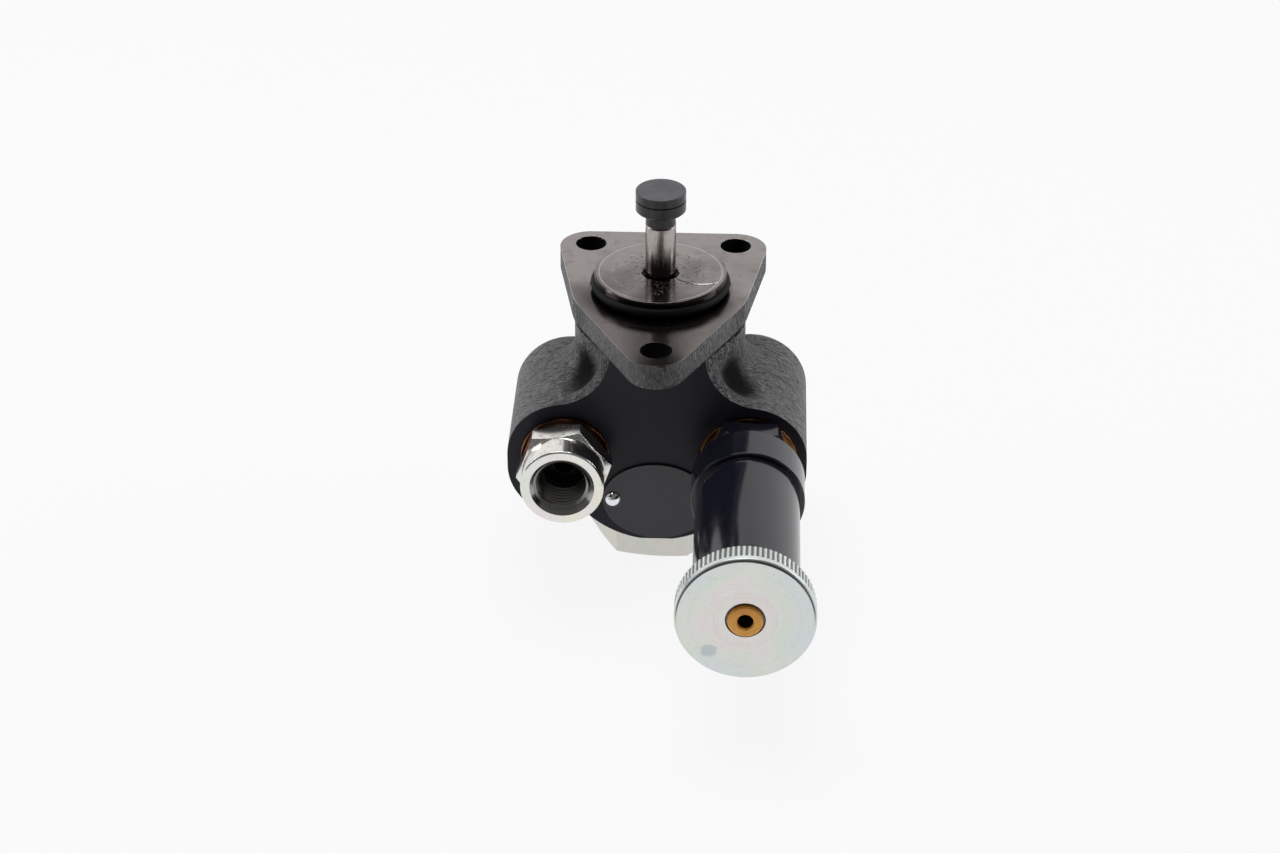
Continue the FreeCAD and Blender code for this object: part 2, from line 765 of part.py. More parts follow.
def primer_rod():
    """Moulded plastic rod, stepped for the piston and pierced at its visible end."""
    foot = primer_spigot_start
    groove_low = primer_piston_end - primer_piston_length - guide_gap - clip_thick
    groove_high = groove_low + clip_thick
    groove_r = primer_spigot_r - clip_groove
    hole_floor = primer_rod_end - primer_rod_hole_depth
    return port_turned([
        (0, foot), (primer_spigot_r - chamfer, foot), (primer_spigot_r, foot + chamfer),
        (primer_spigot_r, groove_low), (groove_r, groove_low), (groove_r, groove_high),
        (primer_spigot_r, groove_high), (primer_spigot_r, primer_piston_end),
        (primer_rod_r, primer_piston_end), (primer_rod_r, primer_rod_end - chamfer),
        (primer_rod_r - chamfer, primer_rod_end), (primer_rod_hole_r + chamfer, primer_rod_end),
        (primer_rod_hole_r, primer_rod_end - chamfer), (primer_rod_hole_r, hole_floor), (0, hole_floor),
    ], RIGHT)


def primer_piston():
    """Primer piston, free to turn on the rod's spigot, with a groove for its ring."""
    end = primer_piston_end - running_gap
    start = primer_piston_end - primer_piston_length
    r = primer_bore_r - guide_gap
    inner = primer_spigot_r + guide_gap
    ring_mid = start + primer_ring_place
    half = primer_ring_wire_r + guide_gap
    floor = primer_ring_mean_r() - primer_ring_wire_r - guide_gap
    return port_turned([
        (inner, start), (r - chamfer, start), (r, start + chamfer), (r, ring_mid - half),
        (floor, ring_mid - half), (floor, ring_mid + half), (r, ring_mid + half), (r, end - chamfer),
        (r - chamfer, end), (inner, end),
    ], RIGHT)


def primer_ring_mean_r():
    """Mean radius of the ring that seals the primer piston in its bore."""
    return primer_bore_r - seal_gap - primer_ring_wire_r


def primer_piston_seal():
    """Rubber ring of the primer piston."""
    place = primer_piston_end - primer_piston_length + primer_ring_place
    return port_ring(primer_ring_mean_r(), primer_ring_wire_r, place, RIGHT)


def primer_rod_clip():
    """Split clip that holds the piston on the rod."""
    end = primer_piston_end - primer_piston_length - guide_gap
    start = end - clip_thick
    ring = port_tube(clip_r, primer_spigot_r - clip_groove, start, end, RIGHT)
    slot = 2 * (primer_spigot_r - clip_groove) - chamfer
    corner = V(RIGHT * port_x - slot / 2, front_face_y - end, port_z - clip_r)
    return ring.cut(Part.makeBox(slot, clip_thick, clip_r, corner))


def knurl(start, end):
    """Straight knurled band: a toothed outline drawn along the primer's axis."""
    points = []
    for k in range(2 * knurl_count + 1):
        angle = math.pi * k / knurl_count
        r = knob_r if k % 2 == 0 else knob_r - knurl_depth
        x = RIGHT * port_x + r * math.cos(angle)
        points.append(V(x, front_face_y - start, port_z + r * math.sin(angle)))
    return Part.Face(Part.makePolygon(points)).extrude(V(0, start - end, 0))


def primer_knob():
    """Knurled knob with a threaded boss at its back and a ringed hole for the rod."""
    boss_start = knob_back - knob_boss_length
    root_r = knob_r - knurl_depth
    face_floor = knob_face - knob_face_groove
    ring_floor = knob_face - knob_ring_depth
    rim_start = knob_knurl_end
    body = port_turned([
        (primer_rod_r, boss_start), (knob_boss_r - chamfer, boss_start),
        (knob_boss_r, boss_start + chamfer),
        (knob_boss_r, knob_back), (root_r - chamfer, knob_back), (root_r - chamfer, rim_start),
        (knob_r - knob_groove_width, rim_start), (knob_r, rim_start + knob_groove_width),
        (knob_r, face_floor - knob_groove_width), (knob_face_r + knob_groove_width, face_floor),
        (knob_face_r, face_floor), (knob_face_r, knob_face), (knob_ring_r, knob_face),
        (knob_ring_r, ring_floor), (primer_rod_r, ring_floor),
    ], RIGHT)
    band = knurl(knob_back, rim_start).cut(port_disc(root_r - 2 * chamfer, knob_back, rim_start, RIGHT))
    bevel_end = knob_back + chamfer + knurl_depth
    bevel = port_turned([(0, knob_back), (root_r, knob_back), (knob_r + chamfer, bevel_end),
                         (knob_r + chamfer, rim_start), (0, rim_start)], RIGHT)
    return body.fuse(band.common(bevel))


def knob_ring():
    """Steel ring that locks the rod in the knob."""
    start = knob_face - knob_ring_depth
    end = knob_face - chamfer
    return port_turned([
        (primer_rod_r, start), (knob_ring_r, start), (knob_ring_r, end - chamfer / 2),
        (knob_ring_r - chamfer / 2, end), (primer_rod_r, end),
    ], RIGHT)


def rivet_places(y):
    """Centres of the two rivets at a depth, on the plate's slightly turned long axis."""
    turn = math.radians(plate_turn_deg)
    reach = V(rivet_x * math.cos(turn), 0, rivet_x * math.sin(turn))
    return [V(0, y, plate_z) + reach * side for side in (LEFT, RIGHT)]


def plate_outline(y):
    """Oval outline of the nameplate at a depth."""
    centre = V(0, y, plate_z)
    edge = Part.Ellipse(centre, plate_half_width, plate_half_height).toShape()
    edge.rotate(centre, V(1, 0, 0), 90)
    edge.rotate(centre, Y_AXIS, -plate_turn_deg)
    return Part.Wire(edge)


def nameplate():
    """Thin oval plate on the front face."""
    plate = Part.Face(plate_outline(front_face_y)).extrude(V(0, -plate_thick, 0))
    places = rivet_places(front_face_y - plate_thick)
    holes = [Part.makeCylinder(rivet_shank_r, plate_thick, place, Y_AXIS) for place in places]
    return plate.cut(holes)


def nameplate_rivets():
    """Two domed rivets that hold the plate."""
    dome_r = (rivet_head_r ** 2 + rivet_head_height ** 2) / (2 * rivet_head_height)
    rivets = []
    for seat in rivet_places(front_face_y - plate_thick):
        centre = seat + V(0, dome_r - rivet_head_height, 0)
        window = Part.makeCylinder(dome_r, rivet_head_height, seat - V(0, rivet_head_height, 0), Y_AXIS)
        dome = Part.makeSphere(dome_r, centre).common(window)
        shank = Part.makeCylinder(rivet_shank_r, plate_thick + rivet_shank_length, seat, Y_AXIS)
        rivets.append(dome.fuse(shank).Solids[0])
    return Part.makeCompound(rivets)


PIECES = {
    "pump_housing": pump_housing,
    "pilot_o_ring": pilot_o_ring,
    "push_rod": push_rod,
    "tappet_head": tappet_head,
    "rod_guide_bush": rod_guide_bush,
    "rod_seal": rod_seal,
    "pump_piston": pump_piston,
    "piston_spring": piston_spring,
    "closing_plug": closing_plug,
    "closing_plug_washer": closing_plug_washer,
    "outlet_union": outlet_union,
    "outlet_washer": outlet_washer,
    "delivery_valve_seat": lambda: valve_seat(delivery_seat_depth, delivery_chamber_r, LEFT),
    "delivery_valve": lambda: valve(delivery_seat_depth, LEFT),
    "delivery_valve_spring": lambda: valve_spring(delivery_seat_depth, LEFT),
    "suction_valve_seat": lambda: valve_seat(suction_seat_depth, suction_chamber_r, RIGHT),
    "suction_valve": lambda: valve(suction_seat_depth, RIGHT),
    "suction_valve_spring": lambda: valve_spring(suction_seat_depth, RIGHT),
    "primer_barrel": primer_barrel,
    "primer_washer": primer_washer,
    "primer_guide_bush": primer_guide_bush,
    "primer_rod_seal": primer_rod_seal,
    "primer_rod": primer_rod,
    "primer_piston": primer_piston,
    "primer_piston_seal": primer_piston_seal,
    "primer_rod_clip": primer_rod_clip,
    "primer_knob": primer_knob,
    "knob_ring": knob_ring,
    "nameplate": nameplate,
    "nameplate_rivets": nameplate_rivets,
}

for name, make in PIECES.items():
    make().exportStep("parts/" + name + ".step")
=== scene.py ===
"""Looks of the fuel lift pump: its finishes, the screw threads that show, and the studio."""
import logging
import math
from dataclasses import dataclass, field
from enum import Enum
from functools import cached_property
from typing import Any, Mapping, Optional, Sequence, Union

import bpy
from mathutils import Matrix, Vector


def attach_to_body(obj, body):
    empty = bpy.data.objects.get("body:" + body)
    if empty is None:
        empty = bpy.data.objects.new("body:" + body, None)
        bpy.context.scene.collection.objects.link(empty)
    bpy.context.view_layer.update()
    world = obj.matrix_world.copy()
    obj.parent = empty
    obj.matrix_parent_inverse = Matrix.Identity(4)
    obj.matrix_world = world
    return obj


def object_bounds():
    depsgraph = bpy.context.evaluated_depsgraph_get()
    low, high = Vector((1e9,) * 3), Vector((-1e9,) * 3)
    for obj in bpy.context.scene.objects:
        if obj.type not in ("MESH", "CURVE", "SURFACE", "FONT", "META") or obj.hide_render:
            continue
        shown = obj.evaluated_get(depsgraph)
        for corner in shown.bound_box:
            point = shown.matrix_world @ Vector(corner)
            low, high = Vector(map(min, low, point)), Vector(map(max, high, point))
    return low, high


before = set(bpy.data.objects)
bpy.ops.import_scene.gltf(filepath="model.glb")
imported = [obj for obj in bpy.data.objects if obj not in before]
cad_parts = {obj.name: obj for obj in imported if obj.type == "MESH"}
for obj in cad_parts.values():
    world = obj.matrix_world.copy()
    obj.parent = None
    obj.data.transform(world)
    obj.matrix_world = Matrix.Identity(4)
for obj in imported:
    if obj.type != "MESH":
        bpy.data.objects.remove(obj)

CAD_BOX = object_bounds()
MM = 0.001
FLOOR_GAP = 0.1
LOG = logging.getLogger("fuel_lift_pump")

Triple = tuple[float, float, float]
Operand = Union["Signal", int, float]
Tint = Union["Signal", Triple]


class Side(Enum):
    """The two ports of the housing, by the sign of their place on the X axis."""

    OUTLET = -1
    PRIMER = 1


class Turned(Enum):
    """The axis that a turned piece was turned about."""

    ALONG_Y = "Y"
    ALONG_Z = "Z"


class Signal:
    """A shader socket that adds nodes when it is used in arithmetic."""

    def __init__(self, graph: "Graph", socket: bpy.types.NodeSocket) -> None:
        """Keeps the socket and the graph that it belongs to."""
        self.graph = graph
        self.socket = socket

    def _math(self, operation: str, first: Operand, second: Operand) -> "Signal":
        """Adds one Math node and gives its result."""
        return self.graph.make("ShaderNodeMath", {"operation": operation}, {0: first, 1: second})

    def __add__(self, other: Operand) -> "Signal":
        """Sum."""
        return self._math("ADD", self, other)

    def __radd__(self, other: Operand) -> "Signal":
        """Sum, reflected."""
        return self._math("ADD", other, self)

    def __sub__(self, other: Operand) -> "Signal":
        """Difference."""
        return self._math("SUBTRACT", self, other)

    def __rsub__(self, other: Operand) -> "Signal":
        """Difference, reflected."""
        return self._math("SUBTRACT", other, self)

    def __mul__(self, other: Operand) -> "Signal":
        """Product."""
        return self._math("MULTIPLY", self, other)

    def __rmul__(self, other: Operand) -> "Signal":
        """Product, reflected."""
        return self._math("MULTIPLY", other, self)

    def __truediv__(self, other: Operand) -> "Signal":
        """Quotient."""
        return self._math("DIVIDE", self, other)

    def __rtruediv__(self, other: Operand) -> "Signal":
        """Quotient, reflected."""
        return self._math("DIVIDE", other, self)

    def __pow__(self, other: Operand) -> "Signal":
        """Power."""
        return self._math("POWER", self, other)

    def __gt__(self, other: Operand) -> "Signal":
        """One where this is greater, and zero elsewhere."""
        return self._math("GREATER_THAN", self, other)

    def __lt__(self, other: Operand) -> "Signal":
        """One where this is less, and zero elsewhere."""
        return self._math("LESS_THAN", self, other)

    def __or__(self, other: Operand) -> "Signal":
        """The greater of two masks."""
        return self._math("MAXIMUM", self, other)

    def __abs__(self) -> "Signal":
        """Size without sign."""
        return self._math("ABSOLUTE", self, 0.0)


class Graph:
    """A node tree, in millimetres of the part's own frame."""

    def __init__(self, tree: bpy.types.NodeTree) -> None:
        """Empties the tree and keeps it."""
        self.tree = tree
        tree.nodes.clear()

    @cached_property
    def place(self) -> Signal:
        """Place on the piece in millimetres."""
        return self.scaled(self.make("ShaderNodeTexCoord", output="Object"), (1 / MM, 1 / MM, 1 / MM))

    @cached_property
    def xyz(self) -> tuple[Signal, Signal, Signal]:
        """The three components of the place."""
        return self.parts(self.place)

    def make(
        self,
        kind: str,
        settings: Optional[Mapping[str, Any]] = None,
        inputs: Optional[Mapping[Union[int, str], Any]] = None,
        output: Union[int, str] = 0,
    ) -> Signal:
        """Adds any node.

        Args:
            kind: Blender's type of the node.
            settings: properties that are set first; "stops" holds a ramp's (place, colour) pairs.
            inputs: values or signals of the sockets, by index or name.
            output: index or name of the output that is wanted.

        Returns:
            That output as a signal.
        """
        node = self.tree.nodes.new(kind)
        for key, value in (settings or {}).items():
            if key == "stops":
                self._set_stops(node.color_ramp, value)
            else:
                setattr(node, key, value)
        for key, value in (inputs or {}).items():
            if isinstance(value, Signal):
                self.tree.links.new(value.socket, node.inputs[key])
            else:
                node.inputs[key].default_value = value
        return Signal(self, node.outputs[output])

    @staticmethod
    def _set_stops(ramp: bpy.types.ColorRamp, stops: Sequence[tuple[float, Sequence[float]]]) -> None:
        """Gives a colour ramp its (place, colour) pairs, from low to high."""
        while len(ramp.elements) < len(stops):
            ramp.elements.new(1.0)
        for element, (place, colour) in zip(ramp.elements, stops):
            element.position = place
            element.color = (*colour[:3], 1.0)

    def close(self, kind: str, shader: Signal) -> None:
        """Adds the tree's output node of that kind behind the last shader."""
        output = self.tree.nodes.new(kind)
        self.tree.links.new(shader.socket, output.inputs["Surface"])

    def parts(self, vector: Signal) -> tuple[Signal, Signal, Signal]:
        """Splits a vector into its three components."""
        split = self.make("ShaderNodeSeparateXYZ", inputs={0: vector})
        outputs = split.socket.node.outputs
        return Signal(self, outputs[0]), Signal(self, outputs[1]), Signal(self, outputs[2])

    def vector(self, x: Operand, y: Operand, z: Operand) -> Signal:
        """Joins three components into a vector."""
        return self.make("ShaderNodeCombineXYZ", inputs={0: x, 1: y, 2: z})

    def scaled(self, vector: Signal, factors: Triple) -> Signal:
        """Multiplies a vector by one factor for each axis."""
        return self.make("ShaderNodeVectorMath", {"operation": "MULTIPLY"}, {0: vector, 1: factors})

    def noise(
        self,
        size: Union[float, Triple],
        detail: float = 2.0,
        roughness: float = 0.5,
        warp: float = 0.0,
        place: Optional[Signal] = None,
    ) -> Signal:
        """Cloudy pattern, mostly between 0.3 and 0.7.

        Args:
            size: size of its patches in millimetres, one for all axes or one for each.
            detail: octaves of finer patches.
            roughness: strength of the finer patches.
            warp: how far the patches are pulled out of shape.
            place: the place that it is drawn by, when it isn't the piece's own.

        Returns:
            The pattern's height.
        """
        sizes = (size, size, size) if isinstance(size, float) else size
        vector = self.scaled(place or self.place, (1 / sizes[0], 1 / sizes[1], 1 / sizes[2]))
        sockets = {"Scale": 1.0, "Detail": detail, "Roughness": roughness, "Distortion": warp}
        return self.make("ShaderNodeTexNoise", inputs={"Vector": vector, **sockets})

    def lines(self, across: Signal, pitch: float, detail: float = 3.0) -> Signal:
        """Uneven straight or round marks.

        Args:
            across: distance across the marks in millimetres.
            pitch: mean distance from mark to mark.
            detail: octaves of finer marks.

        Returns:
            The marks' height.
        """
        sockets = {"W": across / pitch, "Scale": 1.0, "Detail": detail, "Roughness": 0.7}
        return self.make("ShaderNodeTexNoise", {"noise_dimensions": "1D"}, sockets)

    def step(self, value: Signal, low: float, high: float) -> Signal:
        """Smooth step.

        Args:
            value: the value that is tested.
            low: where the result leaves 0.
            high: where the result reaches 1.

        Returns:
            The step, between 0 and 1.
        """
        sockets = {"Value": value, "From Min": low, "From Max": high}
        return self.make("ShaderNodeMapRange", {"interpolation_type": "SMOOTHSTEP"}, sockets)

    def fall(self, value: Signal, low: float, high: float) -> Signal:
        """Smooth step down, from 1 up to the low place to 0 from the high one."""
        return 1 - self.step(value, low, high)

    def band(self, value: Signal, middle: float, inner: float, outer: float) -> Signal:
        """Soft band, 1 within the inner distance of its middle and 0 beyond the outer one."""
        return self.fall(abs(value - middle), inner, outer)

    def ramp(self, value: Signal, stops: Sequence[tuple[float, Triple]]) -> Signal:
        """Colour ramp of (place, colour) pairs."""
        return self.make("ShaderNodeValToRGB", {"stops": stops}, {0: value})

    def blend(self, mask: Operand, first: Tint, second: Tint) -> Signal:
        """Mixes two colours: a mask of 0 gives the first, 1 the second."""
        colours = [c if isinstance(c, Signal) else (*c, 1.0) for c in (first, second)]
        return self.make("ShaderNodeMix", {"data_type": "RGBA"}, {0: mask, 6: colours[0], 7: colours[1]}, 2)

    def choose(self, mask: Signal, first: Operand, second: Operand) -> Signal:
        """Mixes two numbers: a mask of 0 gives the first, 1 the second."""
        return self.make("ShaderNodeMix", {"data_type": "FLOAT"}, {0: mask, 2: first, 3: second})

    def radius(self, axis: Turned, centre: tuple[float, float]) -> Signal:
        """Distance from an axis that runs along Y or Z.

        Args:
            axis: which way the axis runs.
            centre: the axis's place on the two other axes, in millimetres.

        Returns:
            The distance in millimetres.
        """
        x, y, z = self.xyz
        other = z if axis is Turned.ALONG_Y else y
        return ((x - centre[0]) ** 2 + (other - centre[1]) ** 2) ** 0.5

    def bump(self, height: Signal, depth: float, under: Optional[Signal] = None) -> Signal:
        """Relief that bends the light.

        Args:
            height: the relief's height, 1 being full.
            depth: the full height in millimetres.
            under: a relief or rounding beneath this one.

        Returns:
            The bent normal.
        """
        sockets: dict[Union[int, str], Any] = {"Strength": 1.0, "Distance": depth * MM, "Height": height}
        if under is not None:
            sockets["Normal"] = under
        return self.make("ShaderNodeBump", inputs=sockets)

    def rounding(self, radius: float) -> Signal:
        """Normal of edges that are rounded by that radius in millimetres."""
        return self.make("ShaderNodeBevel", {"samples": 4}, {"Radius": radius * MM})

    def surface(self, **sockets: Any) -> Signal:
        """Adds a Principled shader; an underscore stands for each space in a socket's name."""
        values = {key.replace("_", " "): value for key, value in sockets.items()}
        return self.make("ShaderNodeBsdfPrincipled", inputs=values)

    def mix(self, mask: Signal, first: Signal, second: Signal) -> Signal:
        """Mixes two shaders: a mask of 0 gives the first, 1 the second."""
        return self.make("ShaderNodeMixShader", inputs={0: mask, 1: first, 2: second})


@dataclass(frozen=True)
class Finish:
    """A surface finish that gives one material."""

    name: str

    def material(self) -> bpy.types.Material:
        """Builds the material."""
        material = bpy.data.materials.new(self.name)
        material.use_nodes = True
        graph = Graph(material.node_tree)
        graph.close("ShaderNodeOutputMaterial", self.shade(graph))
        return material

    def shade(self, graph: Graph) -> Signal:
        """Adds the finish's nodes.

        Args:
            graph: the material's graph.

        Returns:
            The finish's shader.
        """
        raise NotImplementedError


@dataclass(frozen=True)
class ZincPlate(Finish):
    """Zinc plating with a thin, pale rainbow of passivation.

    Attributes:
        axis: the axis that the piece was turned about.
        centre: that axis's place in millimetres.
        dullness: roughness of the plated metal.
        turning: depth of the turning marks in millimetres.
        silver: main colour of the plating.
    """

    axis: Turned = Turned.ALONG_Y
    centre: tuple[float, float] = (0.0, 0.0)
    dullness: float = 0.3
    turning: float = 0.004
    silver: Triple = (0.66, 0.665, 0.63)

    def tinted(self, factors: Triple) -> Triple:
        """Main colour with one factor for each channel."""
        red, green, blue = self.silver
        return (red * factors[0], green * factors[1], blue * factors[2])

    def wash(self, graph: Graph, cloud: Signal) -> Signal:
        """Place on the rainbow of tints, 0 to 1, here the wide cloudy pattern itself."""
        return cloud

    def shadows(self, graph: Graph, colour: Signal) -> Signal:
        """Darkens what the piece's own shape keeps dark.

        Args:
            graph: the material's graph.
            colour: the colour so far.

        Returns:
            The colour with its shadows.
        """
        return colour

    def shade(self, graph: Graph) -> Signal:
        """Adds turning marks, cloudy tints and scuffs."""
        rose, mint = self.tinted((1.03, 0.96, 0.98)), self.tinted((0.95, 1.01, 0.97))
        straw, sky = self.tinted((1.03, 1.01, 0.91)), self.tinted((0.94, 0.99, 1.05))
        cloud = graph.noise(16.0, 1.0, 0.5, 0.8)
        silver = self.silver
        stops = [(0.3, straw), (0.42, silver), (0.5, rose), (0.58, silver), (0.66, mint), (0.8, sky)]
        colour = graph.ramp(self.wash(graph, cloud), stops)
        scuffs = graph.step(graph.noise((1.2, 0.5, 1.2), 4.0, 0.75), 0.54, 0.7)
        colour = graph.blend(scuffs * 0.24, colour, self.tinted((0.5, 0.48, 0.45)))
        colour = self.shadows(graph, colour)
        marks = graph.lines(graph.radius(self.axis, self.centre), 0.3)
        grain = graph.noise(0.25, 2.0, 0.6)
        roughness = self.dullness + (cloud - 0.5) * 0.12 + (grain - 0.5) * 0.12 + scuffs * 0.1
        normal = graph.bump(marks, self.turning, graph.rounding(0.15))
        normal = graph.bump(grain, self.turning, normal)
        return graph.surface(Base_Color=colour, Metallic=1.0, Roughness=roughness, Normal=normal)


@dataclass(frozen=True)
class ZincKnob(ZincPlate):
    """Zinc plating of the knob, with painted shade in its knurl grooves and a bluish stain.

    Attributes:
        stain: place of the stain on X and Z, in millimetres.
        groove_shade_r: radius below which the knurl gets painted shade.
        knurl_end: last place of the knurl along Y.
        face_r: radius of the raised face.
    """

    stain: tuple[float, float] = (16.6, -51.6)
    groove_shade_r: float = 18.78
    knurl_end: float = -104.3
    face_r: float = 18.3

    def wash(self, graph: Graph, cloud: Signal) -> Signal:
        """Warm in the middle of the face and cool at its rim."""
        return graph.radius(self.axis, self.centre) / 19.0 * 0.36 + cloud * 0.55 + 0.09

    def shadows(self, graph: Graph, colour: Signal) -> Signal:
        """Paints shade into the knurl grooves and a shadow line on the upper side of the face's step, and
        adds the stain and faint rings.
        """
        x, y, z = graph.xyz
        radius = graph.radius(self.axis, self.centre)
        # painted shade down in the knurl grooves
        groove_shade = graph.fall(radius, self.groove_shade_r - 0.12, self.groove_shade_r + 0.06) * (y > self.knurl_end + 0.1)
        # painted shadow line at the face's step, on its upper side only
        step = graph.fall(abs(radius - self.face_r - 0.18), 0.12, 0.3) * (y < self.knurl_end)
        step = step * graph.step(z - self.centre[1], -3.0, 5.0)
        # dark colour of the painted shade and shadow line
        colour = graph.blend((groove_shade * 0.78) | (step * 0.85), colour, (0.035, 0.04, 0.038))
        rings = graph.step(graph.lines(radius, 1.1, 2.0), 0.5, 0.75) * graph.fall(radius, 12.0, 17.0)
        colour = graph.blend(rings * 0.16, colour, (0.36, 0.34, 0.31))
        edge = (graph.noise(2.4, 3.0, 0.6) - 0.5) * 3.0
        away = ((x - self.stain[0]) ** 2 + ((z - self.stain[1]) * 1.15) ** 2) ** 0.5 + edge
        return graph.blend(graph.fall(away, 1.7, 2.7) * 0.5, colour, (0.34, 0.38, 0.48))


@dataclass(frozen=True)
class ZincUnion(ZincPlate):
    """Zinc plating of the union, with painted shade down its bore.

    Attributes:
        mouth_r: radius of the bore's mouth.
        face_y: place of the mouth along Y.
    """

    mouth_r: float = 9.2
    face_y: float = -43.4

    def shadows(self, graph: Graph, colour: Signal) -> Signal:
        """Paints shade into the mouth and, more, into the bore behind it, and darkens blotches on the
        hexagon.
        """
        _, y, _ = graph.xyz
        radius = graph.radius(self.axis, self.centre)
        # painted shade inside the mouth, deeper further down the bore
        mouth = (radius < self.mouth_r - 0.02) * (y > self.face_y + 0.03)
        deep = graph.step(y, self.face_y + 0.4, self.face_y + 3.0) * 0.4 + 0.55
        # darker blotches on the hexagon behind its front face
        scuffs = graph.step(graph.noise(2.4, 4.0, 0.7), 0.48, 0.62) * (y > self.face_y + 1.0)
        scuffs = scuffs * (radius > self.mouth_r + 1.0)
        colour = graph.blend(scuffs * 0.3, colour, (0.10, 0.095, 0.085))
        # dark colour of the painted shade in the bore
        return graph.blend(mouth * deep, colour, (0.030, 0.033, 0.030))


@dataclass(frozen=True)
class Steel(Finish):
    """Bare, blackened or copper-coloured metal.

    Attributes:
        colour: its main colour.
        dullness: its roughness.
        grain: size of its marks along X, Y and Z in millimetres.
        depth: depth of the marks in millimetres.
        film: share of the dark film of oil and oxide.
    """

    colour: Triple = (0.55, 0.52, 0.505)
    dullness: float = 0.2
    grain: Triple = (0.3, 0.3, 6.0)
    depth: float = 0.003
    film: float = 0.5

    def film_over(self, graph: Graph, colour: Signal) -> Signal:
        """Colour after what lies on this piece alone, here the same colour."""
        return colour

    def shade(self, graph: Graph) -> Signal:
        """Adds fine drawn marks and a thin film of oil."""
        marks = graph.noise(self.grain, 3.0, 0.6)
        film = graph.noise(4.0, 3.0, 0.6)
        red, green, blue = self.colour
        dark = (red * 0.45, green * 0.43, blue * 0.42)
        colour = graph.blend(graph.step(film, 0.46, 0.68) * self.film, self.colour, dark)
        colour = self.film_over(graph, colour)
        roughness = self.dullness + (marks - 0.5) * 0.2 + (film - 0.5) * 0.12
        normal = graph.bump(marks, self.depth, graph.rounding(0.12))
        return graph.surface(Base_Color=colour, Metallic=1.0, Roughness=roughness, Normal=normal)


@dataclass(frozen=True)
class GroundRod(Steel):
    """Ground steel of the push rod, with a painted dark reflection of the pilot down at its bottom.

    Attributes:
        dark_reflection_z: height below which the painted dark reflection is full.
    """

    dark_reflection_z: float = 8.0

    def film_over(self, graph: Graph, colour: Signal) -> Signal:
        """Adds the painted dark reflection of the pilot, full at the bottom and in narrow runs above."""
        _, _, z = graph.xyz
        runs = (graph.noise((0.9, 0.9, 30.0), 2.0, 0.6) - 0.5) * 9.0
        # painted dark reflection of the pilot's top on the rod's lower end
        dark_reflection = graph.fall(z + runs, self.dark_reflection_z, self.dark_reflection_z + 5.5)
        return graph.blend(dark_reflection * 0.86, colour, (0.02, 0.0175, 0.017))


@dataclass(frozen=True)
class CopperRing(Steel):
    """Copper sealing ring, with painted shade on its pressed face and a painted highlight at its rim.

    Attributes:
        centre: the ring's axis on X and Z in millimetres.
        highlight_r: radius at which the painted highlight of the rim starts.
        glint_share: share of the painted glint on the right of the pressed face.
    """

    centre: tuple[float, float] = (0.0, 0.0)
    highlight_r: float = 12.4
    glint_share: float = 0.0

    def film_over(self, graph: Graph, colour: Signal) -> Signal:
        """Paints shade over the pressed face, all but a painted highlight at its rim and a painted glint on
        its right side.
        """
        x, _, z = graph.xyz
        radius = graph.radius(Turned.ALONG_Y, self.centre)
        # painted highlight along the rim, stronger at the sides
        rim = graph.step(radius, self.highlight_r, self.highlight_r + 0.15)
        # painted glint on the right of the pressed face
        painted_glint = graph.step(x - self.centre[0], 5.5, 8.5) * graph.step(z - self.centre[1], 0.0, 4.0) * self.glint_share
        side = graph.step(abs(x - self.centre[0]), 4.0, 10.0) * 0.5 + 0.12
        # dark colour of the painted shade on the pressed face
        return graph.blend((1 - (rim * side | painted_glint)) * 0.94, colour, (0.014, 0.0065, 0.005))


@dataclass(frozen=True)
class Coating(Finish):
    """Paint, plastic or rubber.

    Attributes:
        colour: its main colour.
        dullness: its roughness.
        orange_peel: height of its soft waves in millimetres.
        specks: share of lighter dust specks.
        gloss: strength of its reflections, 0.5 being a usual plastic's.
    """

    colour: Triple = (0.012, 0.012, 0.014)
    dullness: float = 0.3
    orange_peel: float = 0.01
    specks: float = 0.3
    gloss: float = 0.5

    def body_colour(self, graph: Graph) -> Tint:
        """Colour under the dust.

        Args:
            graph: the material's graph.

        Returns:
            The colour or its signal.
        """
        return self.colour

    def shade(self, graph: Graph) -> Signal:
        """Adds soft waves, fine grain and dust."""
        waves = graph.noise(1.2, 2.0, 0.5)
        grain = graph.noise(0.18, 2.0, 0.6)
        wear = graph.noise(5.0, 4.0, 0.6)
        dust = graph.step(graph.noise(0.35, 1.0, 0.5), 0.72, 0.78)
        light = tuple(min(1.0, c * 1.6 + 0.03) for c in self.colour)
        share = dust * self.specks + graph.step(wear, 0.55, 0.85) * 0.08
        colour = graph.blend(share, self.body_colour(graph), light)
        roughness = self.dullness + (wear - 0.5) * 0.16 + (grain - 0.5) * 0.1
        normal = graph.bump(waves, self.orange_peel, graph.rounding(0.15))
        normal = graph.bump(grain, self.orange_peel * 0.2, normal)
        return graph.surface(
            Base_Color=colour, Roughness=roughness, Specular_IOR_Level=self.gloss, Normal=normal
        )


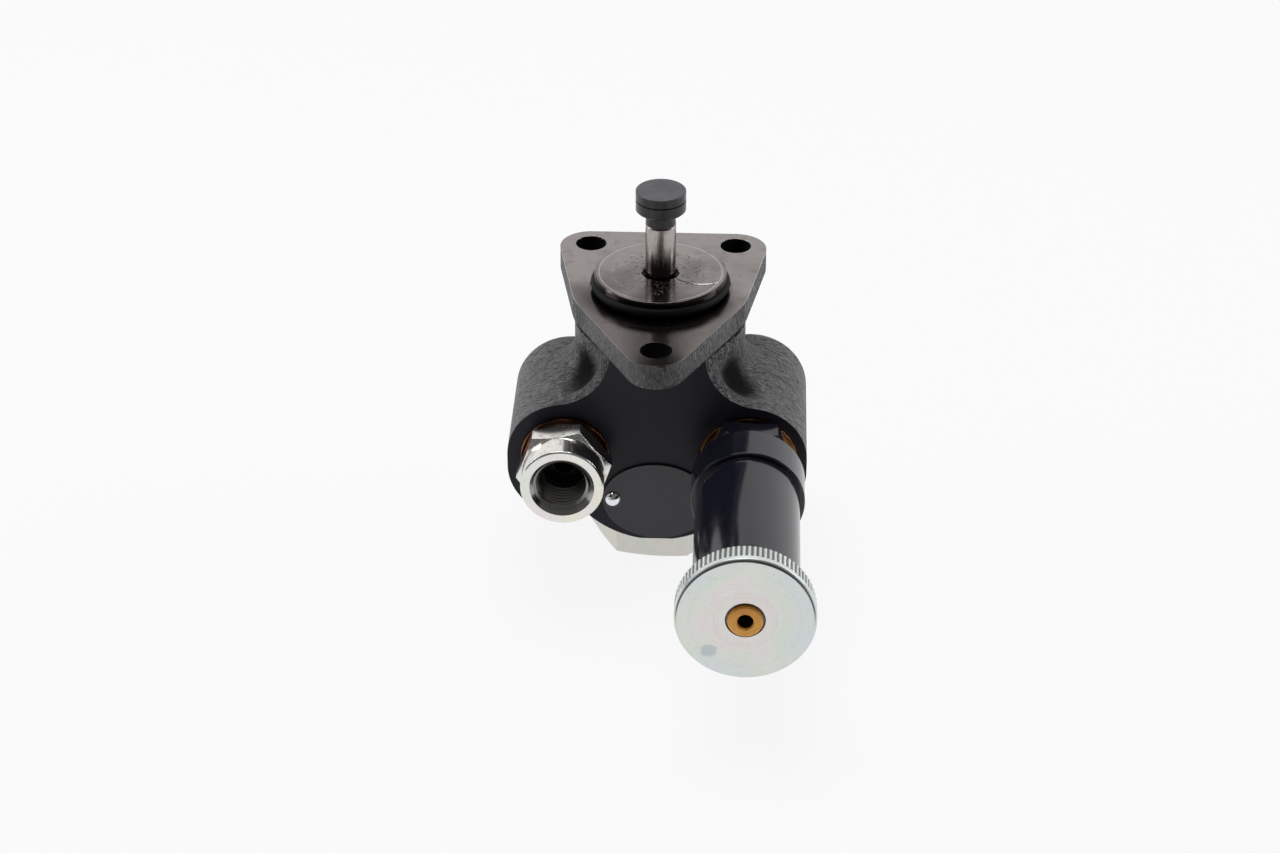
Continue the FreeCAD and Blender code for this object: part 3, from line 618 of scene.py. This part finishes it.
@dataclass(frozen=True)
class GlossBlack(Coating):
    """Gloss black of the primer's barrel, with a painted dark reflection of the knob's back at its end.

    Attributes:
        knob_reflection_y: place along Y at which the painted dark reflection starts.
    """

    knob_reflection_y: float = -92.8

    def shade(self, graph: Graph) -> Signal:
        """Adds the painted dark reflection at the end."""
        x, y, _ = graph.xyz
        edge = (graph.noise(2.0, 2.0, 0.6) - 0.5) * 2.5
        # painted dark reflection of the knob at the barrel's end, a dull black sheet mixed over the gloss
        dark = graph.fall(y + edge + graph.step(x, 28.0, 36.0) * 5.0, self.knob_reflection_y - 2.0, self.knob_reflection_y + 0.8)
        shade_black = graph.surface(Base_Color=(0.003, 0.003, 0.004, 1.0), Roughness=0.6, Specular_IOR_Level=0.15)
        return graph.mix(dark * 0.9, super().shade(graph), shade_black)


@dataclass(frozen=True)
class BlackOxide(Coating):
    """Black oxide of the tappet head, with a painted bluish sheen on top and brown streaks on its side.

    Attributes:
        top_z: height of its top face.
    """

    top_z: float = 31.05

    def body_colour(self, graph: Graph) -> Tint:
        """Lighter on the top face, a painted sheen of the overhead light."""
        _, _, z = graph.xyz
        streaks = graph.step(graph.noise((1.4, 1.4, 9.0), 3.0, 0.65), 0.42, 0.66)
        side = graph.blend(streaks * 0.7, (0.0065, 0.0060, 0.0062), (0.027, 0.022, 0.021))
        cloud = graph.step(graph.noise(6.0, 3.0, 0.6), 0.35, 0.65)
        # painted bluish sheen of the overhead light on the top face
        top = graph.blend(cloud, (0.020, 0.021, 0.026), (0.034, 0.0345, 0.040))
        return graph.blend(graph.step(z, self.top_z - 0.5, self.top_z - 0.1), side, top)


@dataclass(frozen=True)
class AmberPlastic(Coating):
    """Amber plastic of the primer rod, with painted shade down its hole.

    Attributes:
        centre: the rod's axis on X and Z in millimetres.
        hole_r: radius of the hole in its end.
        hole_end: first place along Y that is outside the hole.
    """

    centre: tuple[float, float] = (0.0, 0.0)
    hole_r: float = 2.3
    hole_end: float = -107.8

    def body_colour(self, graph: Graph) -> Tint:
        """Amber, darker towards the top, with painted shade almost black down the hole."""
        _, y, z = graph.xyz
        cloud = graph.noise(2.5, 3.0, 0.6) * 3.0
        lean = graph.step(z - self.centre[1] + cloud, 1.5, 6.5)
        amber = graph.blend(lean * 0.55, self.colour, (0.40, 0.14, 0.012))
        down = graph.step(y, self.hole_end, self.hole_end + 0.8)
        # painted shade down the hole
        hole_shade = (graph.radius(Turned.ALONG_Y, self.centre) < self.hole_r) * down
        return graph.blend(hole_shade * 0.93, amber, (0.012, 0.005, 0.002))


@dataclass(frozen=True)
class CastHousing(Finish):
    """Black painted casting: rough cast skin, milled front, and bare metal on top and round the inlet.

    Attributes:
        front_y: depth of the milled front.
        flange_low: height of the flange's lower face.
        inlet: the inlet's axis on X and Z.
        inlet_seat_r: radius of the machined seat round the inlet.
        rear_hole: place of the right rear stud hole on X and Y.
        front_hole_y: place of the front stud hole along Y.
        hole_r: radius of the stud holes.
        pocket_x: distance of the painted shade in the deep pockets from the middle.
        pocket_y: their place along Y.
        pocket_z: heights of the left and the right pocket.
        pocket_radii: their half sizes on X, Y and Z.
        crumple_y: where the flange's side turns from calm to crumpled, along Y.
        scratch_low: lowest point of the curved scratch on X and Y.
        scratch_span: its ends on X.
        scratch_bend: how much it curves.
        turned_line_r: radius of the light line turned in the pilot.
        pilot_edge: radii over which the pilot's top turns dark at its edge.
        seal_reflection: radii over which the painted dark reflection round the seal fades.
    """

    front_y: float = -25.6
    flange_low: float = -8.0
    inlet: tuple[float, float] = (26.2, -41.5)
    inlet_seat_r: float = 11.6
    rear_hole: tuple[float, float] = (21.2, 26.0)
    front_hole_y: float = -36.8
    hole_r: float = 4.5
    pocket_x: float = 23.0
    pocket_y: float = -15.4
    pocket_z: tuple[float, float] = (-19.0, -20.8)
    pocket_radii: Triple = (5.6, 5.8, 5.6)
    crumple_y: tuple[float, float] = (-17.0, -10.0)
    scratch_low: tuple[float, float] = (12.0, -7.6)
    scratch_span: tuple[float, float] = (4.3, 17.5)
    scratch_bend: float = 0.055
    turned_line_r: float = 17.6
    pilot_edge: tuple[float, float] = (18.45, 18.75)
    seal_reflection: tuple[float, float] = (21.5, 28.0)

    def folds(self, graph: Graph) -> tuple[Signal, Signal]:
        """Wavy folds of the mould, which follow lines of equal depth.

        Args:
            graph: the material's graph.

        Returns:
            The folds' height, from 0 in the troughs to 1, and the mask of painted shade in the deepest
            troughs.
        """
        x, y, z = graph.xyz
        sway = (graph.noise((7.0, 20.0, 7.0), 1.0) - 0.5) * 7.0
        sway = sway + (graph.noise((2.0, 4.0, 2.0), 1.0) - 0.5) * 2.4 + (graph.noise(0.7, 1.0) - 0.5) * 0.9
        along = graph.vector(x / 3.2, y + sway, z / 3.2)
        wide = graph.noise((0.7, 0.95, 0.7), 2.0, 0.6, place=along)
        fine = graph.noise((0.42, 0.46, 0.42), 2.0, 0.6, place=along)
        height = graph.step(wide, 0.38, 0.6) * 0.72 + graph.step(fine, 0.36, 0.64) * 0.28
        # the second mask is painted shade in the deepest troughs
        return height, graph.fall(wide + (fine - 0.5) * 0.35, 0.38, 0.46)

    def pocket_shade(self, graph: Graph) -> Signal:
        """Mask of the painted shade in the two deep pockets between the ears and the waist."""
        x, y, z = graph.xyz
        right = graph.step(x, -1.0, 1.0)
        edge = (graph.noise(1.6, 3.0, 0.65) - 0.5) * 0.9
        middle_x = (right * 2 - 1) * self.pocket_x
        middle_z = graph.choose(right, *self.pocket_z)
        wide, deep, high = self.pocket_radii
        away = ((x - middle_x) / wide) ** 2 + ((y - self.pocket_y) / deep) ** 2
        away = away + ((z - middle_z) / high) ** 2
        # painted shade where the flange overhangs the pockets
        return graph.fall(away + edge, 0.35, 2.3)

    def holes(self, graph: Graph) -> Signal:
        """Mask of the painted shade on the walls of the three stud holes."""
        x, y, z = graph.xyz
        rear_x, rear_y = self.rear_hole
        rear = ((abs(x) - rear_x) ** 2 + (y - rear_y) ** 2) ** 0.5
        front = (x ** 2 + (y - self.front_hole_y) ** 2) ** 0.5
        # painted shade down the stud holes
        near = (rear < self.hole_r + 0.12) | (front < self.hole_r + 0.12)
        return near * (z < -0.35)

    def skin(self, graph: Graph) -> Signal:
        """Painted cast skin, with painted shade, a dull black sheet, down in its troughs, pockets, creases
        and stud holes.

        Args:
            graph: the material's graph.

        Returns:
            Its shader.
        """
        x, y, z = graph.xyz
        folds, valley_shade = self.folds(graph)
        pits = graph.noise(0.4, 2.0, 0.6)
        rim = graph.step(z, self.flange_low - 1.5, self.flange_low + 0.3)
        crumpled = rim * graph.step(y + (pits - 0.5) * 4.0, *self.crumple_y)
        calm = rim * graph.fall(y, *self.crumple_y)
        upright = graph.vector(x, y, z / 3.2)
        pleats = graph.noise((0.8, 0.8, 0.8), 2.0, 0.65, 1.0, upright)
        rolls = graph.step(graph.noise((2.2, 2.2, 5.0), 2.0, 0.5, 0.6), 0.38, 0.6)
        # painted shade in the cracks of the pleats
        crack_shade = graph.fall(pleats, 0.36, 0.45)
        height = graph.choose(rim, folds, graph.step(pleats, 0.38, 0.6) * (0.6 + rolls * 0.4))
        # painted shade in the troughs and cracks, and between the rolls of the crumpled rim
        dark = graph.choose(rim, valley_shade, (crack_shade | (1 - rolls) * 0.8) * crumpled + crack_shade * calm * 0.6)
        swell = graph.noise((5.0, 2.4, 5.0), 2.0, 0.5) * 0.6 + rolls * crumpled * 0.8
        relief = height * (1.0 - calm * 0.55) + swell + pits * 0.12
        jag = (graph.noise(1.5, 3.0, 0.7) - 0.5) * 2.8
        # painted shadow along a jagged line under the flange's lower edge
        crease_shade = graph.fall(abs(z - self.flange_low + 0.75 + jag), 0.25, 0.95)
        # all the painted shade: pockets, fold line under the flange, stud holes and troughs
        painted_shade = (self.pocket_shade(graph) | crease_shade | self.holes(graph) | dark * 0.42) * 0.97
        # colour darker down in the troughs: painted shade
        colour = graph.ramp(height, [(0.1, (0.014, 0.0137, 0.0152)), (0.9, (0.036, 0.0350, 0.0385))])
        normal = graph.bump(relief, 0.85, graph.rounding(0.3))
        gloss = 0.39 + (pits - 0.5) * 0.3
        paint = graph.surface(Base_Color=colour, Roughness=gloss, Specular_IOR_Level=0.75, Normal=normal)
        # dull black sheet that carries the painted shade
        shade_black = graph.surface(Base_Color=(0.0022, 0.0021, 0.0026, 1.0), Roughness=0.8, Specular_IOR_Level=0.05)
        return graph.mix(painted_shade, paint, shade_black)

    def front(self, graph: Graph) -> Signal:
        """Milled and painted front.

        Args:
            graph: the material's graph.

        Returns:
            Its shader.
        """
        x, _, z = graph.xyz
        wipe = graph.noise(14.0, 2.0, 0.5)
        cutter = graph.lines(((x - 30.0) ** 2 + (z + 120.0) ** 2) ** 0.5, 1.1, 2.0)
        dust = graph.step(graph.noise(0.32, 1.0, 0.5), 0.735, 0.78)
        colour = graph.ramp(wipe, [(0.3, (0.0080, 0.0074, 0.0135)), (0.7, (0.0135, 0.0125, 0.0205))])
        colour = graph.blend(dust * 0.5, colour, (0.12, 0.12, 0.125))
        normal = graph.bump(cutter, 0.006, graph.rounding(0.25))
        normal = graph.bump(graph.noise(0.4, 2.0, 0.6), 0.006, normal)
        roughness = 0.4 + (wipe - 0.5) * 0.25
        return graph.surface(Base_Color=colour, Roughness=roughness, Specular_IOR_Level=0.2, Normal=normal)

    def scratch(self, graph: Graph) -> Signal:
        """Mask of the long curved scratch in front of the push rod, on the right."""
        x, y, _ = graph.xyz
        low_x, low_y = self.scratch_low
        start, end = self.scratch_span
        away = abs(y - low_y - (x - low_x) ** 2 * self.scratch_bend + (graph.noise(0.9, 2.0) - 0.5) * 0.5)
        along = graph.step(x, start, start + 0.7) * graph.fall(x, end - 2.5, end)
        return graph.fall(away, 0.15, 0.7) * along

    def top(self, graph: Graph) -> Signal:
        """Bare machined steel of the flange and the pilot, browned by oil, with painted reflections: lighter
        towards the back, dark in front of the rod and round the seal.

        Args:
            graph: the material's graph.

        Returns:
            Its shader.
        """
        x, y, z = graph.xyz
        radius = graph.radius(Turned.ALONG_Z, (0.0, 0.0))
        raised = graph.step(z, 0.5, 1.5)
        ground = graph.lines(y + (graph.noise((18.0, 3.0, 3.0), 1.0) - 0.5) * 2.0, 0.35)
        marks = graph.choose(raised, ground, graph.lines(radius, 0.3))
        cloud = graph.noise(15.0, 2.0, 0.5, 0.4)
        oil = graph.step(graph.noise(3.2, 4.0, 0.6), 0.5, 0.72)
        # painted reflection: lighter towards the back, darker towards the front
        shade = graph.step(y * 0.012 + cloud, 0.25, 0.75)
        colour = graph.blend(shade, (0.150, 0.131, 0.125), (0.285, 0.258, 0.248))
        colour = graph.blend(oil * 0.3, colour, (0.10, 0.082, 0.076))
        line = graph.band(radius, self.turned_line_r, 0.1, 0.3)
        colour = graph.blend(line * 0.45, colour, (0.55, 0.52, 0.50))
        pits = graph.step(graph.noise(0.55, 2.0, 0.6), 0.68, 0.74)
        near = raised * graph.fall(radius, 11.0, 15.0)
        dents = graph.step(graph.noise((1.2, 1.0, 1.2), 2.0, 0.65), 0.57, 0.62) * near
        scratch = self.scratch(graph) * raised
        colour = graph.blend((pits * 0.6) | (dents * 0.55) | (scratch * 0.6), colour, (0.03, 0.027, 0.026))
        # painted dark reflection of the push rod and its head on the top in front of it
        film = graph.fall(abs(x) + cloud * 4.0, 5.0, 15.0) * graph.fall(y, -20.0, -5.0)
        # painted dark reflection of the seal and the pilot on the flange in front of them
        ring = graph.fall(radius + cloud * 3.0, *self.seal_reflection) * (1 - raised) * graph.fall(y, -12.0, 6.0)
        wall = raised * graph.step(radius, *self.pilot_edge)
        # dark colour of the painted reflections and of the pilot's dark edge
        colour = graph.blend((film * 0.62) | (ring * 0.85) | (wall * 0.85), colour, (0.016, 0.013, 0.012))
        normal = graph.bump(marks, 0.004, graph.rounding(0.2))
        normal = graph.bump(1 - (pits * 0.4 | dents | scratch), 0.2, normal)
        roughness = 0.2 - raised * 0.02 + (oil - 0.5) * 0.05 + (marks - 0.5) * 0.14 + (cloud - 0.5) * 0.12
        return graph.surface(Base_Color=colour, Metallic=1.0, Roughness=roughness, Normal=normal)

    def seat(self, graph: Graph) -> Signal:
        """Bare turned metal round the inlet.

        Args:
            graph: the material's graph.

        Returns:
            Its shader.
        """
        marks = graph.lines(graph.radius(Turned.ALONG_Y, self.inlet), 0.35)
        cloud = graph.noise(4.0, 3.0, 0.6)
        colour = graph.ramp(cloud, [(0.35, (0.22, 0.205, 0.195)), (0.65, (0.38, 0.36, 0.34))])
        normal = graph.bump(marks, 0.02, graph.rounding(0.2))
        roughness = 0.34 + (cloud - 0.5) * 0.2
        return graph.surface(Base_Color=colour, Metallic=1.0, Roughness=roughness, Normal=normal)

    def shade(self, graph: Graph) -> Signal:
        """Paints the casting, mills its front and leaves its top and inlet seat bare."""
        _, y, z = graph.xyz
        uneven = (graph.noise(1.6, 3.0, 0.65) - 0.5) * 0.7
        bare = graph.step(z + uneven, -0.6, -0.42)
        milled = (y < self.front_y + 0.06) * (z < self.flange_low - 0.1)
        seat = (graph.radius(Turned.ALONG_Y, self.inlet) < self.inlet_seat_r) * (y > 4.0)
        painted = graph.mix(milled, self.skin(graph), self.front(graph))
        machined = graph.mix(seat, painted, self.seat(graph))
        return graph.mix(bare, machined, self.top(graph))


@dataclass
class Thread:
    """Raised helical thread on the wall of a bore.

    Attributes:
        name: the piece's name.
        centre: the bore's axis on X and Z in millimetres.
        wall: radius of the bore's wall.
        start: first place along Y.
        end: last place along Y.
        height: how far the thread stands into the bore.
        pitch: distance from turn to turn.
        steps: points in one turn.
        mouth: place along Y from which the wall widens towards the front.
        mouth_share: share of the height on the widened wall.
        root_half: half the ridge's width at its root, as a share of the pitch.
        crest_half: half its width at its crest, as a share of the pitch.
        sink: how far its root lies behind the wall.
    """

    name: str
    centre: tuple[float, float]
    wall: float
    start: float
    end: float
    height: float = 0.42
    pitch: float = 1.5
    steps: int = 72
    mouth: float = -1000.0
    mouth_share: float = 0.5
    root_half: float = 0.42
    crest_half: float = 0.08
    sink: float = 0.05

    def build(self) -> bpy.types.Object:
        """Builds the ridge as one closed mesh.

        Returns:
            The thread's object.
        """
        turns = (self.end - self.start - self.pitch) / self.pitch
        count = int(turns * self.steps)
        vertices: list[Triple] = []
        faces: list[tuple[int, ...]] = []
        for index in range(count + 1):
            angle = 2 * math.pi * index / self.steps
            along = self.start + self.pitch / 2 + self.pitch * index / self.steps
            fade = min(1.0, index / self.steps * 2, (count - index) / self.steps * 2)
            half, flat = self.pitch * self.root_half, self.pitch * self.crest_half
            crest, root = self.height * fade, -self.sink
            for rise, shift in ((root, -half), (crest, -flat), (crest, flat), (root, half)):
                depth = along + shift
                widened = max(0.0, self.mouth - depth)
                share = self.mouth_share if widened and rise > 0 else 1.0
                radius = self.wall + widened - rise * share
                x = (self.centre[0] + radius * math.cos(angle)) * MM
                z = (self.centre[1] + radius * math.sin(angle)) * MM
                vertices.append((x, depth * MM, z))
        for index in range(count):
            low, high = 4 * index, 4 * index + 4
            for corner in range(4):
                following = (corner + 1) % 4
                faces.append((low + corner, low + following, high + following, high + corner))
        faces.append((0, 3, 2, 1))
        last = 4 * count
        faces.append((last, last + 1, last + 2, last + 3))
        return new_piece(self.name, vertices, faces)


def new_piece(name: str, vertices: Sequence[Triple], faces: Sequence[Sequence[int]]) -> bpy.types.Object:
    """Adds a mesh object.

    Args:
        name: the object's name.
        vertices: its points in metres.
        faces: its faces as indices of points.

    Returns:
        The object.
    """
    mesh = bpy.data.meshes.new(name)
    mesh.from_pydata(vertices, [], faces)
    mesh.validate()
    mesh.update()
    piece = bpy.data.objects.new(name, mesh)
    bpy.context.scene.collection.objects.link(piece)
    return piece


def attach(piece: bpy.types.Object, finish: Finish, body: str) -> None:
    """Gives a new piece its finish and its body.

    Args:
        piece: the piece.
        finish: its finish.
        body: the body that it rides on.
    """
    piece.data.materials.append(finish.material())
    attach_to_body(piece, body)
    LOG.info("%s: built, %s", piece.name, finish.name)


def dress(nodes: Sequence[str], finish: Finish) -> None:
    """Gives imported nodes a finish.

    Args:
        nodes: names of the nodes.
        finish: their finish.
    """
    material = finish.material()
    for node in nodes:
        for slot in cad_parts[node].material_slots:
            slot.material = material
        LOG.info("%s: %s", node, finish.name)


@dataclass
class Ports:
    """Places of the two ports in millimetres.

    Attributes:
        reach: distance of each port's axis from the middle.
        height: height of the axes.
    """

    reach: float = 26.2
    height: float = -41.5

    def axis(self, side: Side) -> tuple[float, float]:
        """Axis of a port on X and Z."""
        return (side.value * self.reach, self.height)


@dataclass
class Housing:
    """The casting and the ring at its pilot's root."""

    ports: Ports
    inlet_thread_start: float = 5.2
    inlet_thread_end: float = 19.6
    thread_wall: float = 7.19

    def build(self) -> None:
        """Dresses the casting and adds the inlet's thread."""
        axis = self.ports.axis(Side.PRIMER)
        dress(["pump_housing"], CastHousing("painted casting", inlet=axis))
        dress(["pilot_o_ring"], Coating("black rubber", (0.0022, 0.0022, 0.0026), 0.55, 0.006, 0.06, 0.1))
        span = (self.inlet_thread_start, self.inlet_thread_end)
        thread = Thread("inlet_thread", axis, self.thread_wall, *span)
        cut = Steel("cut iron", (0.26, 0.24, 0.23), 0.36, (0.5, 0.5, 0.5), 0.006)
        attach(thread.build(), cut, "housing")


@dataclass
class PushRodGroup:
    """Push rod, head, guide, seal, piston and spring."""

    def build(self) -> None:
        """Dresses the group."""
        ground = GroundRod("ground steel", (0.40, 0.365, 0.345), 0.24)
        dress(["push_rod", "rod_guide_bush", "pump_piston"], ground)
        dress(["tappet_head"], BlackOxide("black oxide", (0.018, 0.018, 0.0205), 0.3, 0.003, 0.15, 0.4))
        dress(["rod_seal"], Coating("seal rubber", (0.010, 0.010, 0.010), 0.5, 0.006, 0.4))
        dress(["piston_spring"], Steel("spring wire", (0.35, 0.35, 0.36), 0.28, (1.0, 1.0, 1.0), 0.003))


@dataclass
class ClosingPlug:
    """Hexagon plug under the housing and its ring."""

    def build(self) -> None:
        """Dresses the plug and its ring."""
        plate = ZincPlate("zinc plug", Turned.ALONG_Z, (0.0, 0.0), 0.3, 0.006, (0.60, 0.60, 0.55))
        dress(["closing_plug"], plate)
        dress(["closing_plug_washer"], Steel("soft steel", (0.30, 0.28, 0.25), 0.35, (0.8, 0.8, 0.8), 0.01))


@dataclass
class OutletUnion:
    """Union in the left ear, its copper ring and its thread."""

    ports: Ports
    thread_wall: float = 7.19
    thread_start: float = -43.3
    thread_end: float = -30.6
    mouth: float = -41.39

    def build(self) -> None:
        """Dresses the union and adds its thread."""
        axis = self.ports.axis(Side.OUTLET)
        plate = ZincUnion("zinc union", Turned.ALONG_Y, axis, 0.17, 0.004, (0.76, 0.755, 0.715))
        dress(["outlet_union"], plate)
        # copper ring with painted shade on its face and a painted highlight at its rim
        copper = CopperRing("soft copper", (0.62, 0.27, 0.15), 0.24, (0.8, 0.8, 0.8), 0.006, centre=axis)
        dress(["outlet_washer"], copper)
        span = (self.thread_start, self.thread_end)
        thread = Thread("outlet_thread", axis, self.thread_wall, *span, mouth=self.mouth)
        cut = ZincPlate("zinc thread", Turned.ALONG_Y, axis, 0.3, 0.0, (0.27, 0.27, 0.25))
        attach(thread.build(), cut, "housing")


@dataclass
class ValveGear:
    """Seats, valves and valve springs of both ears."""

    def build(self) -> None:
        """Dresses the valve gear."""
        seats = Steel("turned steel", (0.5, 0.49, 0.47), 0.3, (1.0, 1.0, 1.0), 0.004)
        dress(["delivery_valve_seat", "suction_valve_seat"], seats)
        plastic = Coating("valve plastic", (0.6, 0.57, 0.48), 0.4, 0.004, 0.0)
        dress(["delivery_valve", "suction_valve"], plastic)
        wire = Steel("valve spring wire", (0.42, 0.41, 0.40), 0.25, (0.6, 0.6, 0.6), 0.002)
        dress(["delivery_valve_spring", "suction_valve_spring"], wire)


@dataclass
class HandPrimer:
    """Barrel, knob, rod and inner pieces of the hand primer."""

    ports: Ports

    def build(self) -> None:
        """Dresses the primer."""
        axis = self.ports.axis(Side.PRIMER)
        dress(["primer_barrel"], GlossBlack("gloss black", (0.0045, 0.0045, 0.0085), 0.14, 0.004, 0.1))
        grain = (0.8, 0.8, 0.8)
        # the primer's ring also gets a painted glint on the right of its face
        copper = CopperRing("bright copper", (0.70, 0.33, 0.12), 0.22, grain, 0.006, 0.3, axis, 13.75, 1.0)
        dress(["primer_washer"], copper)
        dress(["primer_knob"], ZincKnob("zinc knob", Turned.ALONG_Y, axis, 0.3, 0.005, (0.70, 0.70, 0.662)))
        dress(["knob_ring"], Steel("dark ring", (0.16, 0.155, 0.15), 0.45, (0.35, 0.35, 0.35), 0.03))
        amber = AmberPlastic("amber plastic", (0.74, 0.335, 0.035), 0.38, 0.008, 0.05, centre=axis)
        dress(["primer_rod"], amber)
        inner = Steel("primer steel", (0.48, 0.47, 0.45), 0.3, (1.0, 1.0, 1.0), 0.004)
        dress(["primer_guide_bush", "primer_piston", "primer_rod_clip"], inner)
        rings = Coating("ring rubber", (0.010, 0.010, 0.010), 0.45, 0.006, 0.3)
        dress(["primer_rod_seal", "primer_piston_seal"], rings)


@dataclass
class Nameplate:
    """Bare oval plate and its two rivets."""

    def build(self) -> None:
        """Dresses the plate and its rivets."""
        dress(["nameplate"], Coating("satin plate", (0.018, 0.0172, 0.0225), 0.36, 0.003, 0.2))
        bright = Steel("bright rivet", (0.80, 0.82, 0.86), 0.1, (2.0, 2.0, 2.0), 0.002, 0.1)
        dress(["nameplate_rivets"], bright)


@dataclass
class Studio:
    """White floor, soft lamps and the camera.

    Attributes:
        floor_z: height of the floor in millimetres.
        aim: point that the camera looks at, in millimetres.
        distance: from the camera to that point, in millimetres.
        azimuth: turn of the camera about Z, in degrees.
        elevation: height of the camera above the horizon, in degrees.
        roll: tilt of the camera about its own axis, in degrees.
        lens: focal length on a sensor 36 mm wide.
        floor_half: half the side of the floor, in millimetres.
        floor_colour: colour of the floor as it is seen.
        floor_seen: share of the floor's look that no shadow darkens.
        wall_light: strength of the pale wall behind the set.
        front_light: strength of the dim room on the camera's side.
        ceiling_light: strength of the dim room overhead.
        lamps: name, place, size and power of each lamp, in millimetres and watts.
    """

    floor_z: float
    aim: Triple = (-5.0, -21.3, -34.0)
    distance: float = 916.0
    azimuth: float = 2.19
    elevation: float = 31.03
    roll: float = -0.08
    lens: float = 90.0
    floor_half: float = 3000.0
    floor_colour: Triple = (0.94, 0.94, 0.95)
    floor_seen: float = 0.95
    wall_light: float = 1.0
    front_light: float = 0.16
    ceiling_light: float = 0.14
    lamps: Sequence[tuple[str, Triple, float, float]] = field(
        default_factory=lambda: [
            ("overhead", (-100.0, 200.0, 900.0), 650.0, 11.0),
            ("left", (-900.0, 50.0, 380.0), 420.0, 4.0),
            ("right", (900.0, 120.0, 300.0), 420.0, 4.0),
        ]
    )

    def build(self) -> None:
        """Builds floor, world, lamps and camera."""
        self.build_floor()
        self.build_world()
        for lamp in self.lamps:
            self.build_lamp(*lamp)
        self.build_camera()

    @staticmethod
    def seen(graph: Graph) -> Signal:
        """Mask of the rays that look at the background, straight or in metal and glass."""
        camera = graph.make("ShaderNodeLightPath", output="Is Camera Ray")
        outputs = camera.socket.node.outputs
        glossy, clear = (Signal(graph, outputs[name]) for name in ("Is Glossy Ray", "Is Transmission Ray"))
        return camera | glossy | clear

    def build_floor(self) -> None:
        """Adds the floor, white to the eye and pale to the light."""
        reach, low = self.floor_half * MM, self.floor_z * MM
        corners = [(-reach, -reach, low), (reach, -reach, low), (reach, reach, low), (-reach, reach, low)]
        floor = new_piece("floor", corners, [(0, 1, 2, 3)])
        material = bpy.data.materials.new("studio floor")
        material.use_nodes = True
        graph = Graph(material.node_tree)
        paper = graph.make("ShaderNodeBsdfDiffuse", inputs={"Color": (0.86, 0.86, 0.87, 1.0)})
        white = graph.make("ShaderNodeEmission", inputs={"Color": (*self.floor_colour, 1.0), "Strength": 1.0})
        graph.close("ShaderNodeOutputMaterial", graph.mix(self.seen(graph) * self.floor_seen, paper, white))
        floor.data.materials.append(material)

    def build_world(self) -> None:
        """Adds the pale walls and the dim ceiling round the set."""
        world = bpy.data.worlds.new("studio")
        world.use_nodes = True
        graph = Graph(world.node_tree)
        _, depth, height = graph.parts(graph.make("ShaderNodeTexCoord", output="Generated"))
        wall = self.front_light + graph.step(depth, -0.1, 0.75) * (self.wall_light - self.front_light)
        room = graph.choose(graph.step(height, 0.48, 0.78), wall, self.ceiling_light)
        camera = graph.make("ShaderNodeLightPath", output="Is Camera Ray")
        strength = graph.choose(camera, room, 1.0)
        sockets = {"Color": (1.0, 1.0, 1.0, 1.0), "Strength": strength}
        light = graph.make("ShaderNodeBackground", inputs=sockets)
        graph.close("ShaderNodeOutputWorld", light)
        bpy.context.scene.world = world

    def build_lamp(self, name: str, place: Triple, size: float, power: float) -> None:
        """Adds a square lamp that faces the pump.

        Args:
            name: the lamp's name.
            place: its centre in millimetres.
            size: its side in millimetres.
            power: its power in watts.
        """
        light = bpy.data.lights.new(name, "AREA")
        light.size = size * MM
        light.energy = power
        lamp = bpy.data.objects.new(name, light)
        origin = Vector(place) * MM
        lamp.location = origin
        lamp.rotation_euler = (Vector(self.aim) * MM - origin).to_track_quat("-Z", "Y").to_euler()
        bpy.context.scene.collection.objects.link(lamp)

    def build_camera(self) -> None:
        """Adds the camera of the photograph."""
        turn, rise, roll = (math.radians(a) for a in (self.azimuth, self.elevation, self.roll))
        forward = Vector((-math.sin(turn) * math.cos(rise), math.cos(turn) * math.cos(rise), -math.sin(rise)))
        right = Vector((math.cos(turn), math.sin(turn), 0.0))
        down = forward.cross(right)
        cosine, sine = math.cos(roll), math.sin(roll)
        right, down = right * cosine + down * sine, down * cosine - right * sine
        matrix = Matrix((right, -down, -forward)).transposed().to_4x4()
        matrix.translation = Vector(self.aim) * MM - forward * self.distance * MM
        data = bpy.data.cameras.new("camera")
        data.lens = self.lens
        camera = bpy.data.objects.new("camera", data)
        camera.matrix_world = matrix
        bpy.context.scene.collection.objects.link(camera)
        bpy.context.scene.camera = camera


def main() -> None:
    """Builds the scene in order."""
    logging.basicConfig(level=logging.INFO, format="%(name)s %(message)s")
    bpy.context.scene.view_settings.view_transform = "Standard"
    Studio(floor_z=CAD_BOX[0][2] / MM - FLOOR_GAP).build()
    ports = Ports()
    groups = [
        Housing(ports),
        PushRodGroup(),
        ClosingPlug(),
        OutletUnion(ports),
        ValveGear(),
        HandPrimer(ports),
        Nameplate(),
    ]
    for group in groups:
        group.build()
        LOG.info("%s: done", type(group).__name__)


if __name__ == "__main__":
    main()
